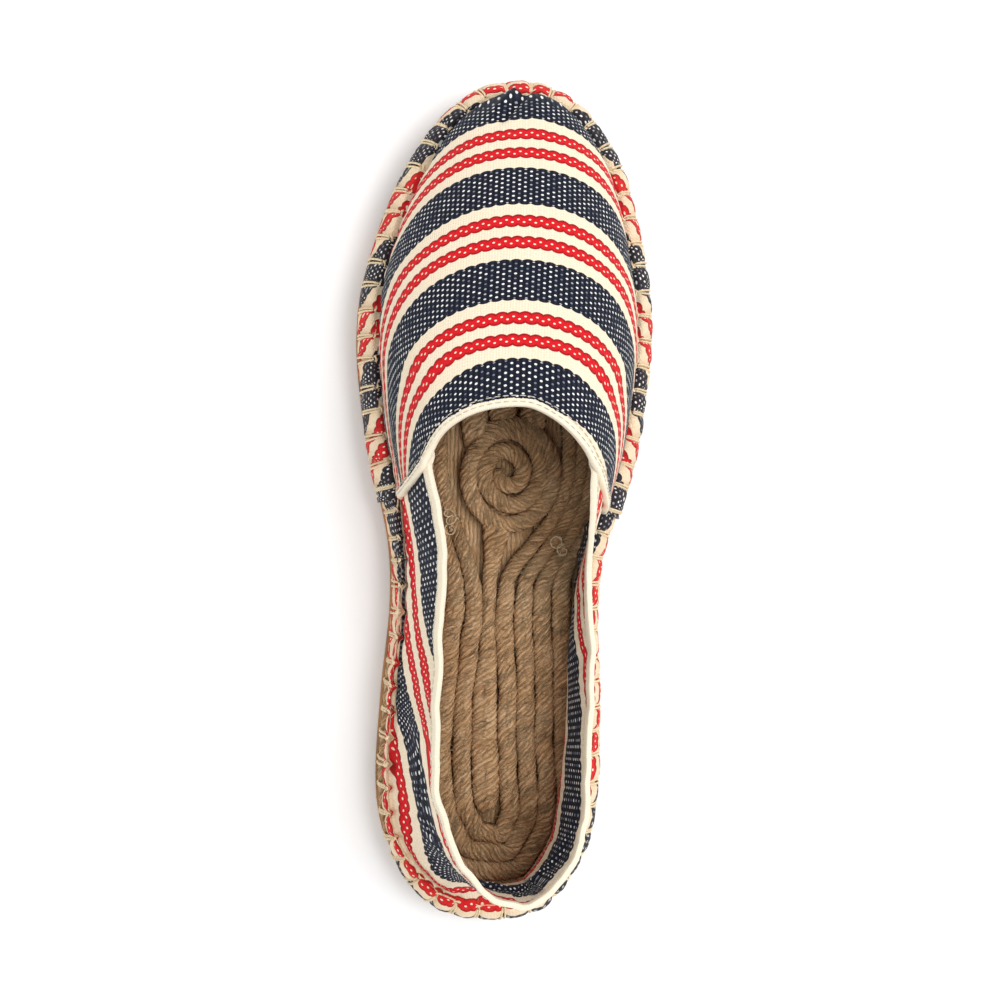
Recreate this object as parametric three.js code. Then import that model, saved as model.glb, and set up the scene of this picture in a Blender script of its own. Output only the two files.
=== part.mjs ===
// Espadrille for one foot: a striped canvas upper (vamp and quarter sewn as one hollow shell), a plaited
// jute sole whose own top is the footbed, and a thin rubber outsole.
// Millimetres, +Z up, toe towards -Y, little-toe side towards +X. The sole stands on z = 0.
import * as THREE from "three";

// Driving dimensions
const LENGTH = 265;
const BALL_WIDTH = 94.6;
const INSTEP_HEIGHT = 41; // ridge of the vamp at the throat, above the crease
const HEEL_HEIGHT = 42; // collar at the back of the heel, above the crease
const CLOTH = 1.5; // canvas with its lining
const LAP = 1.3; // the vamp's ears stand proud of the quarter by one cloth
const GAP = 0.35; // clearance between pieces that meet
const RUBBER_THICKNESS = 3.5;
const JUTE_TOP = 19.5;
const TOE_SPRING = 5;
const ARCH_RISE = 1.2;

// How finely the shapes are cut into facets
const SOLE_STATIONS = 88;
const VAMP_RIBS = 52;
const QUARTER_RIBS = 44;
const WALL_STEPS = 8;

const HALF_LENGTH = LENGTH / 2;
const FULL_TURN = 2 * Math.PI;

// Outermost line seen from above: along runs from heel (0) to toe (1) as a share of the length, and
// inside and outside are distances from the middle line as a share of the ball width. Heel and toe both
// swing a little to the big-toe side.
const OUTLINE = [
  { along: 0.0, inside: 0.025, outside: -0.025 },
  { along: 0.01, inside: 0.182, outside: 0.144 },
  { along: 0.03, inside: 0.25, outside: 0.229 },
  { along: 0.06, inside: 0.31, outside: 0.296 },
  { along: 0.1, inside: 0.359, outside: 0.35 },
  { along: 0.15, inside: 0.376, outside: 0.375 },
  { along: 0.26, inside: 0.374, outside: 0.371 },
  { along: 0.38, inside: 0.353, outside: 0.352 },
  { along: 0.44, inside: 0.364, outside: 0.365 },
  { along: 0.5, inside: 0.411, outside: 0.403 },
  { along: 0.56, inside: 0.458, outside: 0.449 },
  { along: 0.62, inside: 0.486, outside: 0.48 },
  { along: 0.68, inside: 0.5, outside: 0.498 },
  { along: 0.74, inside: 0.494, outside: 0.492 },
  { along: 0.8, inside: 0.464, outside: 0.455 },
  { along: 0.85, inside: 0.426, outside: 0.411 },
  { along: 0.9, inside: 0.378, outside: 0.348 },
  { along: 0.94, inside: 0.311, outside: 0.281 },
  { along: 0.97, inside: 0.236, outside: 0.201 },
  { along: 0.99, inside: 0.146, outside: 0.122 },
  { along: 1.0, inside: 0.028, outside: -0.028 },
];

// The canvas margin from its lower edge, over the sole's shoulder, to the sewn crease.
const SKIRT = [
  { inset: 0.6, height: 9.5 },
  { inset: 0.1, height: 12.0 },
  { inset: 0.3, height: 15.2 },
  { inset: 1.3, height: 18.4 },
  { inset: 3.1, height: 20.9 },
  { inset: 5.0, height: 22.0 },
  { inset: 6.5, height: 21.8 },
  { inset: 7.2, height: 21.3 },
];
const CREASE = SKIRT[SKIRT.length - 1];

// Side of the jute sole: full where it is bare, drawn in where the canvas lies over it.
const JUTE_SIDE = [
  { inset: 1.9, height: RUBBER_THICKNESS + GAP },
  { inset: 0.5, height: 5.2 },
  { inset: 0.1, height: 7.2 },
  { inset: 0.7, height: 8.8 },
  { inset: 2.6, height: 9.4 },
  { inset: 2.2, height: 12.2 },
  { inset: 2.5, height: 14.9 },
  { inset: 3.4, height: 17.3 },
  { inset: 5.0, height: 19.1 },
  { inset: 8.0, height: JUTE_TOP },
];

const RUBBER_SIDE = [
  { inset: 2.0, height: 0 },
  { inset: 1.0, height: 0.9 },
  { inset: 0.8, height: 2.6 },
  { inset: 1.3, height: RUBBER_THICKNESS },
];

// Ridge of the vamp: distance back from the toe crease and rise as a share of the instep height.
const RIDGE = [
  { back: 0, rise: 0 },
  { back: 1, rise: 0.105 },
  { back: 3, rise: 0.2 },
  { back: 6, rise: 0.28 },
  { back: 11, rise: 0.36 },
  { back: 19, rise: 0.46 },
  { back: 29, rise: 0.57 },
  { back: 40, rise: 0.67 },
  { back: 56, rise: 0.77 },
  { back: 70, rise: 0.845 },
  { back: 85, rise: 0.92 },
  { back: 98, rise: 1.0 },
  { back: 128, rise: 1.12 },
];

// How square the vamp's cross-section is.
const SECTION_POWER = 2.4;
const SECTION_ROOT = 1 / 1.9;

// The quarter's collar: for each rib, named by its turn in degrees from the heel (outside positive), where it
// ends as shares of the ball width, half the length and the heel height. The soft canvas leans in over the
// footbed, most at the heel and on the outside. tuck is how far, in millimetres, its lower part is drawn in
// ahead of a straight wall.
const COLLAR = [
  { turn: -88.2, across: -0.239, back: -0.075, rise: 0.76, tuck: 0 },
  { turn: -85.5, across: -0.249, back: 0.023, rise: 0.68, tuck: 0.4 },
  { turn: -81, across: -0.258, back: 0.140, rise: 0.605, tuck: 1.2 },
  { turn: -72.5, across: -0.275, back: 0.309, rise: 0.575, tuck: 2.2 },
  { turn: -61, across: -0.278, back: 0.483, rise: 0.63, tuck: 2.8 },
  { turn: -50, across: -0.264, back: 0.642, rise: 0.74, tuck: 3.8 },
  { turn: -37, across: -0.237, back: 0.749, rise: 0.86, tuck: 5 },
  { turn: -20, across: -0.154, back: 0.827, rise: 0.96, tuck: 5.8 },
  { turn: 0, across: -0.044, back: 0.859, rise: 1.0, tuck: 6 },
  { turn: 20, across: 0.066, back: 0.824, rise: 0.97, tuck: 5.6 },
  { turn: 37, across: 0.154, back: 0.746, rise: 0.88, tuck: 4.8 },
  { turn: 50, across: 0.199, back: 0.642, rise: 0.75, tuck: 3.2 },
  { turn: 61, across: 0.211, back: 0.491, rise: 0.63, tuck: 1.8 },
  { turn: 72.5, across: 0.208, back: 0.309, rise: 0.575, tuck: 0.8 },
  { turn: 81, across: 0.209, back: 0.140, rise: 0.605, tuck: 0.5 },
  { turn: 85.5, across: 0.236, back: 0.023, rise: 0.68, tuck: 0.2 },
  { turn: 89.1, across: 0.271, back: -0.075, rise: 0.76, tuck: 0 },
];

// The throat: its front edge is an arch whose feet stand where vamp and quarter cross.
const THROAT_FRONT = -28;
const THROAT_MIDDLE_X = -1;
const THROAT_OUTSIDE_POWER = 2.1;
const THROAT_INSIDE_POWER = 1.5;
const TUCK_POWER = 0.6; // how low on the wall the tuck is deepest
const EAR_STEP = 0.006; // turn between the ear's edge and the quarter behind it, in radians
const BLEND_RIBS = 5;

/** Turn around the outline, from 0 at the heel to half a turn at the toe, for a station along the length. */
function turnAt(along) {
  return Math.acos(1 - 2 * along);
}

/** A smooth function through the rows of a table, from its own column of positions. */
function curve(positions, values) {
  const interpolant = new THREE.CubicInterpolant(positions, values, 1);
  const last = positions[positions.length - 1];
  return (at) => interpolant.evaluate(Math.min(Math.max(at, positions[0]), last))[0];
}

/** A smooth function all the way round the shoe: the outside rows, then the inside rows backwards. */
function roundCurve(rows, outsideValue, insideValue) {
  const half = rows.map((row) => ({ turn: turnAt(row.along), value: outsideValue(row) }));
  const back = rows.map((row) => ({ turn: FULL_TURN - turnAt(row.along), value: insideValue(row) }));
  const ring = [...half, ...back.reverse().slice(1, -1)];
  const wrapped = [
    ...ring.slice(-3).map((knot) => ({ turn: knot.turn - FULL_TURN, value: knot.value })),
    ...ring,
    ...ring.slice(0, 4).map((knot) => ({ turn: knot.turn + FULL_TURN, value: knot.value })),
  ];
  return curve(
    wrapped.map((knot) => knot.turn),
    wrapped.map((knot) => knot.value),
  );
}

const outlineX = roundCurve(
  OUTLINE,
  (row) => row.outside * BALL_WIDTH,
  (row) => -row.inside * BALL_WIDTH,
);
const ridgeRise = curve(
  RIDGE.map((row) => row.back),
  RIDGE.map((row) => row.rise * INSTEP_HEIGHT),
);
const collarTurns = COLLAR.map((row) => THREE.MathUtils.degToRad(row.turn));
const collarX = curve(
  collarTurns,
  COLLAR.map((row) => row.across * BALL_WIDTH),
);
const collarY = curve(
  collarTurns,
  COLLAR.map((row) => row.back * HALF_LENGTH),
);
const collarRise = curve(
  collarTurns,
  COLLAR.map((row) => row.rise * HEEL_HEIGHT),
);
const wallTuck = curve(
  collarTurns,
  COLLAR.map((row) => row.tuck),
);

// The ears of the vamp meet the crease where the collar's ribs end.
const INSIDE_EAR = collarTurns[0];
const OUTSIDE_EAR = collarTurns[collarTurns.length - 1];

/** How much the sole is lifted off the floor: toe spring ahead of the ball and a low arch at the waist. */
function lift(y) {
  const spring = Math.max(0, (-y - 0.22 * LENGTH) / (HALF_LENGTH - 0.22 * LENGTH));
  const arch = THREE.MathUtils.smoothstep(y, -25, 10) * (1 - THREE.MathUtils.smoothstep(y, 15, 50));
  return TOE_SPRING * spring ** 1.8 + ARCH_RISE * arch;
}

/** Point of the outline at a turn, moved in along its normal. */
function outlinePoint(turn, inset) {
  const wrapped = THREE.MathUtils.euclideanModulo(turn, FULL_TURN);
  const step = 0.01;
  const tangent = new THREE.Vector2(
    outlineX(wrapped + step) - outlineX(wrapped - step),
    HALF_LENGTH * (Math.cos(wrapped + step) - Math.cos(wrapped - step)),
  ).normalize();
  const outward = new THREE.Vector2(-tangent.y, tangent.x);
  return new THREE.Vector2(outlineX(wrapped), HALF_LENGTH * Math.cos(wrapped)).addScaledVector(outward, -inset);
}

/** Place of the crease across the shoe at a station y, on the inside or the outside. */
function creaseX(y, inside) {
  let low = 0;
  let high = Math.PI;
  for (let pass = 0; pass < 24; pass += 1) {
    const middle = (low + high) / 2;
    const turn = inside ? FULL_TURN - middle : middle;
    if (outlinePoint(turn, CREASE.inset).y > y) {
      low = middle;
    } else {
      high = middle;
    }
  }
  const turn = inside ? FULL_TURN - low : low;
  return outlinePoint(turn, CREASE.inset).x;
}

const TOE_CREASE_Y = outlinePoint(Math.PI, CREASE.inset).y;
const TOE_X = outlineX(Math.PI);

/** Middle line of the foot: it runs straight and swings to the toe's own middle at the front. */
function middleX(y) {
  return TOE_X * THREE.MathUtils.smoothstep(-y, 20, HALF_LENGTH);
}

/** Height of the vamp's outer face above the crease, at a point seen from above. */
function domeHeight(x, y) {
  const middle = middleX(y);
  const inside = x < middle;
  const half = Math.abs(creaseX(y, inside) - middle);
  const across = Math.min(1, Math.abs(x - middle) / Math.max(half, 0.001));
  const ridge = ridgeRise(y - TOE_CREASE_Y);
  return ridge * (1 - across ** SECTION_POWER) ** SECTION_ROOT;
}

/** End of the quarter's rib at a turn between minus and plus a quarter of the way round. */
function collarPoint(turn) {
  return new THREE.Vector3(collarX(turn), collarY(turn), collarRise(turn));
}

const CROSSING = { outside: collarPoint(OUTSIDE_EAR), inside: collarPoint(INSIDE_EAR) };

/** Point of the throat's edge: share runs from 0 at the outside crossing to 1 at the inside crossing. */
function throatPoint(share) {
  const inside = share > 0.5;
  const foot = inside ? CROSSING.inside : CROSSING.outside;
  const power = inside ? THROAT_INSIDE_POWER : THROAT_OUTSIDE_POWER;
  const angle = (inside ? 1 - share : share) * Math.PI;
  const x = THROAT_MIDDLE_X + (foot.x - THROAT_MIDDLE_X) * Math.cos(angle) ** (2 / power);
  const y = foot.y + (THROAT_FRONT - foot.y) * Math.sin(angle) ** (2 / power);
  return new THREE.Vector3(x, y, domeHeight(x, y));
}

/** Ribs of the upper: the turn where each leaves the crease, where it ends, and how far it is vamp or quarter. */
function makeRibs() {
  const ribs = [];
  const vampSweep = FULL_TURN + INSIDE_EAR - OUTSIDE_EAR;
  for (let index = 0; index < VAMP_RIBS; index += 1) {
    const share = index / (VAMP_RIBS - 1);
    const near = nearEar(Math.min(index, VAMP_RIBS - 1 - index));
    ribs.push({
      turn: OUTSIDE_EAR + vampSweep * share,
      end: throatPoint(share),
      quarter: near / 2,
      proud: LAP * near,
      tuck: 0,
    });
  }
  const first = INSIDE_EAR + EAR_STEP;
  const sweep = OUTSIDE_EAR - EAR_STEP - first;
  for (let index = 0; index < QUARTER_RIBS; index += 1) {
    const near = nearEar(Math.min(index, QUARTER_RIBS - 1 - index));
    const turn = first + (sweep * index) / (QUARTER_RIBS - 1);
    const end = collarPoint(turn);
    const crossing = turn < 0 ? CROSSING.inside : CROSSING.outside;
    end.z += near * (domeHeight(crossing.x, crossing.y) - crossing.z);
    ribs.push({ turn, end, quarter: 1 - near / 2, proud: 0, tuck: wallTuck(turn) });
  }
  return ribs;
}

/** Share of the ear's own shape at a rib that lies so many ribs away from the ear's edge. */
function nearEar(ribsAway) {
  return 1 - THREE.MathUtils.smoothstep(ribsAway, 0, BLEND_RIBS);
}

/** Outer face of one rib: the skirt's rows, then the wall from the crease up to the edge. */
function ribPoints(rib) {
  const points = SKIRT.map((row) => {
    const plan = outlinePoint(rib.turn, row.inset);
    return new THREE.Vector3(plan.x, plan.y, row.height + lift(plan.y));
  });
  const foot = outlinePoint(rib.turn, CREASE.inset);
  const inward = outlinePoint(rib.turn, CREASE.inset + 1).sub(foot);
  const edge = new THREE.Vector2(rib.end.x, rib.end.y);
  for (let step = 1; step <= WALL_STEPS; step += 1) {
    const share = step / WALL_STEPS;
    const overDome = 1 - Math.cos((share * Math.PI) / 2);
    const upWall = share ** 1.25;
    const plan = foot.clone().lerp(edge, THREE.MathUtils.lerp(overDome, upWall, rib.quarter));
    plan.addScaledVector(inward, rib.tuck * Math.sin(Math.PI * share ** TUCK_POWER));
    const dome = domeHeight(plan.x, plan.y);
    const height = THREE.MathUtils.lerp(dome, rib.end.z * share, rib.quarter);
    points.push(new THREE.Vector3(plan.x, plan.y, CREASE.height + lift(plan.y) + height));
  }
  return points;
}

/** Outward normals of a grid of ribs that closes on itself. */
function gridNormals(grid) {
  return grid.map((rib, column) => {
    const before = grid[(column + grid.length - 1) % grid.length];
    const after = grid[(column + 1) % grid.length];
    return rib.map((point, row) => {
      const up = rib[Math.min(row + 1, rib.length - 1)].clone().sub(rib[Math.max(row - 1, 0)]);
      const round = after[row].clone().sub(before[row]);
      return up.cross(round).normalize();
    });
  });
}

/** Closed geometry from loops of points: each loop is joined to the next, and the ends are capped or joined. */
function loftGeometry(loops, joined) {
  const count = loops[0].length;
  const positions = loops.flat().flatMap((point) => [point.x, point.y, point.z]);
  const index = [];
  const bands = joined ? loops.length : loops.length - 1;
  for (let band = 0; band < bands; band += 1) {
    const lower = band * count;
    const upper = ((band + 1) % loops.length) * count;
    for (let at = 0; at < count; at += 1) {
      const next = (at + 1) % count;
      index.push(lower + at, upper + at, upper + next);
      index.push(lower + at, upper + next, lower + next);
    }
  }
  if (!joined) {
    index.push(...capFaces(count, 0, true));
    index.push(...capFaces(count, (loops.length - 1) * count, false));
  }
  const geometry = new THREE.BufferGeometry();
  geometry.setAttribute("position", new THREE.Float32BufferAttribute(positions, 3));
  geometry.setIndex(index);
  geometry.computeVertexNormals();
  return geometry;
}

/** Faces of a cap laid across the shoe like the rungs of a ladder, so that it can bend lengthwise. */
function capFaces(count, first, facesDown) {
  const faces = [];
  const half = count / 2;
  for (let rung = 0; rung < half; rung += 1) {
    const left = first + rung;
    const leftNext = first + rung + 1;
    const right = first + ((count - rung) % count);
    const rightNext = first + count - rung - 1;
    if (rung < half - 1) {
      faces.push(left, leftNext, rightNext);
    }
    if (rung > 0) {
      faces.push(left, rightNext, right);
    }
  }
  return facesDown ? faces : faces.reverse();
}

/** Loops of a sole layer from its side rows. */
function soleLoops(side) {
  return side.map((row) => {
    const loop = [];
    for (let station = 0; station < SOLE_STATIONS; station += 1) {
      const plan = outlinePoint((FULL_TURN * station) / SOLE_STATIONS, row.inset);
      loop.push(new THREE.Vector3(plan.x, plan.y, row.height + lift(plan.y)));
    }
    return loop;
  });
}

/** The canvas upper: one hollow shell, open at the throat and collar and open underneath. */
function upperGeometry() {
  const ribs = makeRibs();
  const middle = ribs.map(ribPoints);
  const normals = gridNormals(middle);
  const rows = middle[0].length;
  const outer = [];
  const inner = [];
  for (let row = 0; row < rows; row += 1) {
    outer.push(ribs.map((rib, at) => middle[at][row].clone().addScaledVector(normals[at][row], rib.proud)));
    inner.push(ribs.map((rib, at) => middle[at][row].clone().addScaledVector(normals[at][row], -CLOTH)));
  }
  return loftGeometry([...outer, ...inner.reverse()], true);
}

/** A named mesh with its own finish. */
function namedMesh(name, geometry, color, roughness) {
  const mesh = new THREE.Mesh(geometry, new THREE.MeshStandardMaterial({ color, roughness, metalness: 0 }));
  mesh.name = name;
  return mesh;
}

const espadrille = new THREE.Group();
espadrille.name = "espadrille";
espadrille.add(namedMesh("rubber_outsole", loftGeometry(soleLoops(RUBBER_SIDE), false), 0xb98a5a, 0.75));
espadrille.add(namedMesh("jute_sole", loftGeometry(soleLoops(JUTE_SIDE), false), 0xa27b56, 0.95));
espadrille.add(namedMesh("upper", upperGeometry(), 0x262d3f, 0.9));

export default espadrille;
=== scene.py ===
"""Visual model of a flat espadrille: striped canvas upper, plaited jute sole and thin rubber outsole.

Everything is worked out in millimetres in the frame of the CAD model (toe towards -Y, little-toe side
towards +X, floor at z = 0) and turned into metres when a mesh is made.
"""

from __future__ import annotations

import logging
import math
from collections.abc import Sequence
from dataclasses import dataclass, field
from enum import Enum

import bpy
import numpy as np
from mathutils import Matrix, Vector


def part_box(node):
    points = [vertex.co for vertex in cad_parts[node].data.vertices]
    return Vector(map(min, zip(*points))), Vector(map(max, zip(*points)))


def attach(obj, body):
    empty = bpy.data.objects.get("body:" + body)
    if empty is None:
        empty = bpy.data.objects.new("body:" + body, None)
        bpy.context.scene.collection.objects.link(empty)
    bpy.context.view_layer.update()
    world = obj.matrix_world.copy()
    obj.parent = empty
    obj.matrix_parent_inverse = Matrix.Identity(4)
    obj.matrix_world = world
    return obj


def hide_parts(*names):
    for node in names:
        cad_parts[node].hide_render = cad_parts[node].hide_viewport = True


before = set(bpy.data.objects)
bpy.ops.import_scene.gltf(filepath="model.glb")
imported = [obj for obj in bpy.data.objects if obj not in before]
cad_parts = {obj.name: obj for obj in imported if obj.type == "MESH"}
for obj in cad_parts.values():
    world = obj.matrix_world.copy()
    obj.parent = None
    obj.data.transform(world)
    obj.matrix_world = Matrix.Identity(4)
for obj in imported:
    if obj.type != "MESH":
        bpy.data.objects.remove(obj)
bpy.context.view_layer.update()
LOG = logging.getLogger("espadrille")
MM = 0.001
FULL_TURN = 2 * math.pi
SKIRT_INSET = 0.1
BALL_SHARE = 0.357
UP = np.array([0.0, 0.0, 1.0])
Array = np.ndarray
Socket = bpy.types.NodeSocket
Feed = Socket | float
Paint = tuple[int, int, int]
Pairs = tuple[tuple[float, float], ...]
Place = tuple[float, float, float]


class Side(Enum):
    """Side of the foot."""

    OUTSIDE = 1
    INSIDE = -1


class Slot(Enum):
    """Names of material slots."""

    CANVAS = "striped_canvas"
    JUTE = "jute"
    RUBBER = "outsole_rubber"
    TAPE = "cream_tape"
    THREAD = "natural_thread"


# --- Small maths ---


class SmoothCurve:
    """A cubic curve through the knots of a table, flat beyond its ends."""

    def __init__(self, at: Sequence[float], values: Sequence[float]) -> None:
        """Keeps the knots.

        Args:
            at: rising positions.
            values: a value for each position.
        """
        self.at = np.asarray(at, float)
        self.values = np.asarray(values, float)

    def __call__(self, where: Array | float) -> Array:
        """Evaluates the curve.

        Args:
            where: one position or many.

        Returns:
            The value at each position.
        """
        at, values, last = self.at, self.values, len(self.at) - 1
        t = np.clip(np.asarray(where, float), at[0], at[-1])
        right = np.clip(np.searchsorted(at, t, side="right"), 1, last)
        left = right - 1
        before = np.where(left > 0, left - 1, right)
        after = np.where(right < last, right + 1, left)
        t0, t1 = at[left], at[right]
        half = (t1 - t0) / 2
        w_before = half / (t0 - at[before])
        w_after = half / (at[after] - t1)
        p = (t - t0) / (t1 - t0)
        pp, ppp = p * p, p * p * p
        return (
            (-w_before * ppp + 2 * w_before * pp - w_before * p) * values[before]
            + ((1 + w_before) * ppp + (-1.5 - 2 * w_before) * pp + (-0.5 + w_before) * p + 1) * values[left]
            + ((-1 - w_after) * ppp + (1.5 + w_after) * pp + 0.5 * p) * values[right]
            + (w_after * ppp - w_after * pp) * values[after]
        )


def smoothstep(x: Array | float, low: float, high: float) -> Array:
    """Soft step from 0 at low to 1 at high."""
    t = np.clip((np.asarray(x, float) - low) / (high - low), 0, 1)
    return t * t * (3 - 2 * t)


def bell(x: Array, width: float) -> Array:
    """A round peak, 1 at 0, that has fallen to a third at its width."""
    return np.exp(-((x / width) ** 2))


def unit(vectors: Array) -> Array:
    """Vectors scaled to length 1."""
    return vectors / np.maximum(np.linalg.norm(vectors, axis=-1, keepdims=True), 1e-9)


def arc_along(points: Array) -> Array:
    """Length along a line of points, from 0 at its first point."""
    steps = np.linalg.norm(np.diff(points, axis=0), axis=1)
    return np.concatenate([[0.0], np.cumsum(steps)])


def resample(points: Array, step: float) -> Array:
    """A line of points laid out again at even steps.

    Args:
        points: (n, k) line.
        step: wanted distance between neighbours.

    Returns:
        The new line, with the same ends.
    """
    arc = arc_along(points[:, :3])
    count = max(3, int(round(arc[-1] / step)) + 1)
    at = np.linspace(0, arc[-1], count)
    return np.stack([np.interp(at, arc, column) for column in points.T], axis=1)


def soften(line: Array, passes: int) -> Array:
    """A line of points relaxed towards its neighbours' middle, with its ends kept.

    Args:
        line: points or values.
        passes: how often it is relaxed.

    Returns:
        The softer line.
    """
    line = line.copy()
    for _ in range(passes):
        line[1:-1] = line[1:-1] * 0.5 + (line[:-2] + line[2:]) * 0.25
    return line


def ripple(x: Array, seed: int, wave: float) -> Array:
    """Slow irregular wave between about -1 and 1.

    Args:
        x: places along a line, in millimetres.
        seed: picks the wave.
        wave: its longest wavelength.

    Returns:
        The wave at each place.
    """
    rng = np.random.default_rng(seed)
    total = np.zeros_like(np.asarray(x, float))
    for octave, share in ((1.0, 0.55), (1.9, 0.3), (3.3, 0.15)):
        total += share * np.sin(FULL_TURN * x * octave / wave + rng.uniform(0, FULL_TURN))
    return total


def linear(paint: Paint) -> tuple[float, ...]:
    """Colour for a shader from the three numbers of a paint card.

    Args:
        paint: red, green and blue from 0 to 255.

    Returns:
        The same colour in linear light, with full cover.
    """
    shares = [level / 255 for level in paint]
    made = [share / 12.92 if share <= 0.04045 else ((share + 0.055) / 1.055) ** 2.4 for share in shares]
    return (*made, 1.0)


# --- The last: the shape that the CAD model has ---


@dataclass
class LastShape:
    """Shape of the sole and the upper, the same as in the CAD model."""

    length: float
    ball_width: float
    instep_height: float = 41.0
    heel_height: float = 42.0
    jute_top: float = 19.5
    toe_spring: float = 5.0
    arch_rise: float = 1.2
    lap: float = 1.3
    section_power: float = 2.4
    section_root: float = 1 / 1.9
    throat_front: float = -28.0
    throat_middle: float = -1.0
    tuck_power: float = 0.6
    # Share of the length from the heel; half width inside and outside, in ball widths.
    outline: tuple[tuple[float, float, float], ...] = (
        (0.0, 0.025, -0.025),
        (0.01, 0.182, 0.144),
        (0.03, 0.25, 0.229),
        (0.06, 0.31, 0.296),
        (0.1, 0.359, 0.35),
        (0.15, 0.376, 0.375),
        (0.26, 0.374, 0.371),
        (0.38, 0.353, 0.352),
        (0.44, 0.364, 0.365),
        (0.5, 0.411, 0.403),
        (0.56, 0.458, 0.449),
        (0.62, 0.486, 0.48),
        (0.68, 0.5, 0.498),
        (0.74, 0.494, 0.492),
        (0.8, 0.464, 0.455),
        (0.85, 0.426, 0.411),
        (0.9, 0.378, 0.348),
        (0.94, 0.311, 0.281),
        (0.97, 0.236, 0.201),
        (0.99, 0.146, 0.122),
        (1.0, 0.028, -0.028),
    )
    # Inset and height of the skirt's section, from its lower edge up to the crease.
    skirt: Pairs = (
        (0.6, 9.5), (0.1, 12.0), (0.3, 15.2), (1.3, 18.4), (3.1, 20.9), (5.0, 22.0), (6.5, 21.8),
        (7.2, 21.3),
    )
    # Distance back from the toe's crease; height of the ridge, in instep heights.
    ridge: Pairs = (
        (0, 0), (1, 0.105), (3, 0.2), (6, 0.28), (11, 0.36), (19, 0.46), (29, 0.57), (40, 0.67),
        (56, 0.77), (70, 0.845), (85, 0.92), (98, 1.0), (128, 1.12),
    )
    # Degrees of turn; across, along and height, in ball widths, half lengths and heel heights; tuck.
    collar: tuple[tuple[float, float, float, float, float], ...] = (
        (-88.2, -0.239, -0.075, 0.76, 0),
        (-85.5, -0.249, 0.023, 0.68, 0.4),
        (-81, -0.258, 0.140, 0.605, 1.2),
        (-72.5, -0.275, 0.309, 0.575, 2.2),
        (-61, -0.278, 0.483, 0.63, 2.8),
        (-50, -0.264, 0.642, 0.74, 3.8),
        (-37, -0.237, 0.749, 0.86, 5),
        (-20, -0.154, 0.827, 0.96, 5.8),
        (0, -0.044, 0.859, 1.0, 6),
        (20, 0.066, 0.824, 0.97, 5.6),
        (37, 0.154, 0.746, 0.88, 4.8),
        (50, 0.199, 0.642, 0.75, 3.2),
        (61, 0.211, 0.491, 0.63, 1.8),
        (72.5, 0.208, 0.309, 0.575, 0.8),
        (81, 0.209, 0.140, 0.605, 0.5),
        (85.5, 0.236, 0.023, 0.68, 0.2),
        (89.1, 0.271, -0.075, 0.76, 0),
    )

    def __post_init__(self) -> None:
        """Builds the curves and tables that the methods read."""
        self.half = self.length / 2
        self._make_outline()
        self._make_collar()
        self.crease_inset, self.crease_height = self.skirt[-1]
        self._make_crease()
        self._make_arcs()

    def _make_outline(self) -> None:
        """Outline's distance across, all the way round."""
        turns = [math.acos(1 - 2 * along) for along, _, _ in self.outline]
        ring = [(t, row[2] * self.ball_width) for t, row in zip(turns, self.outline)]
        back = [(FULL_TURN - t, -row[1] * self.ball_width) for t, row in zip(turns, self.outline)]
        ring += back[::-1][1:-1]
        ring = (
            [(t - FULL_TURN, x) for t, x in ring[-3:]] + ring + [(t + FULL_TURN, x) for t, x in ring[:4]]
        )
        self._outline = SmoothCurve([t for t, _ in ring], [x for _, x in ring])

    def _make_collar(self) -> None:
        """Curves of the collar and of the throat's feet."""
        columns = np.array(self.collar, float).T
        turns = np.radians(columns[0])
        scales = (self.ball_width, self.half, self.heel_height, 1.0)
        self._collar = [SmoothCurve(turns, column * scale) for column, scale in zip(columns[1:], scales)]
        self.inside_ear, self.outside_ear = float(turns[0]), float(turns[-1])

    def _make_crease(self) -> None:
        """Table of the crease on each side, and the toe's own middle."""
        turns = np.linspace(0, math.pi, 721)
        self._crease = {}
        for side in Side:
            way = turns if side is Side.OUTSIDE else FULL_TURN - turns
            points = self.outline_point(way, self.crease_inset)
            self._crease[side] = (points[::-1, 1], points[::-1, 0])
        self.toe_crease = float(self.outline_point(np.array(math.pi), self.crease_inset)[1])
        self.toe_x = float(self._outline(math.pi))
        self._ridge = SmoothCurve([b for b, _ in self.ridge], [r * self.instep_height for _, r in self.ridge])

    def _make_arcs(self) -> None:
        """Tables of arc length along the ridge and across each section of the vamp."""
        back = np.linspace(0, 160, 1601)
        line = np.stack([back, self._ridge(back)], axis=1)
        self._ridge_arc = (back + self.toe_crease, arc_along(line))
        self._rows = np.linspace(self.toe_crease + 0.05, 30, 320)
        share = np.sin(np.linspace(0, math.pi / 2, 90))
        self._shares = share
        self._across = {}
        for side in Side:
            middle = self.middle_x(self._rows)[:, None]
            edge = self.crease_x(self._rows, side)[:, None]
            x = middle + (edge - middle) * share[None, :]
            z = self.dome(x, np.broadcast_to(self._rows[:, None], x.shape))
            step = np.hypot(np.diff(x, axis=1), np.diff(z, axis=1))
            self._across[side] = np.concatenate([np.zeros((len(x), 1)), np.cumsum(step, axis=1)], axis=1)

    def outline_x(self, turn: Array) -> Array:
        """Outline's distance across at a turn from the heel."""
        return self._outline(np.mod(turn, FULL_TURN))

    def outline_normal(self, turn: Array) -> Array:
        """Outward direction of the outline, seen from above.

        Args:
            turn: turns from the heel.

        Returns:
            Directions across and along.
        """
        step = 0.01
        along_x = self.outline_x(turn + step) - self.outline_x(turn - step)
        along_y = self.half * (np.cos(turn + step) - np.cos(turn - step))
        return unit(np.stack([-along_y, along_x], axis=-1))

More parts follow.
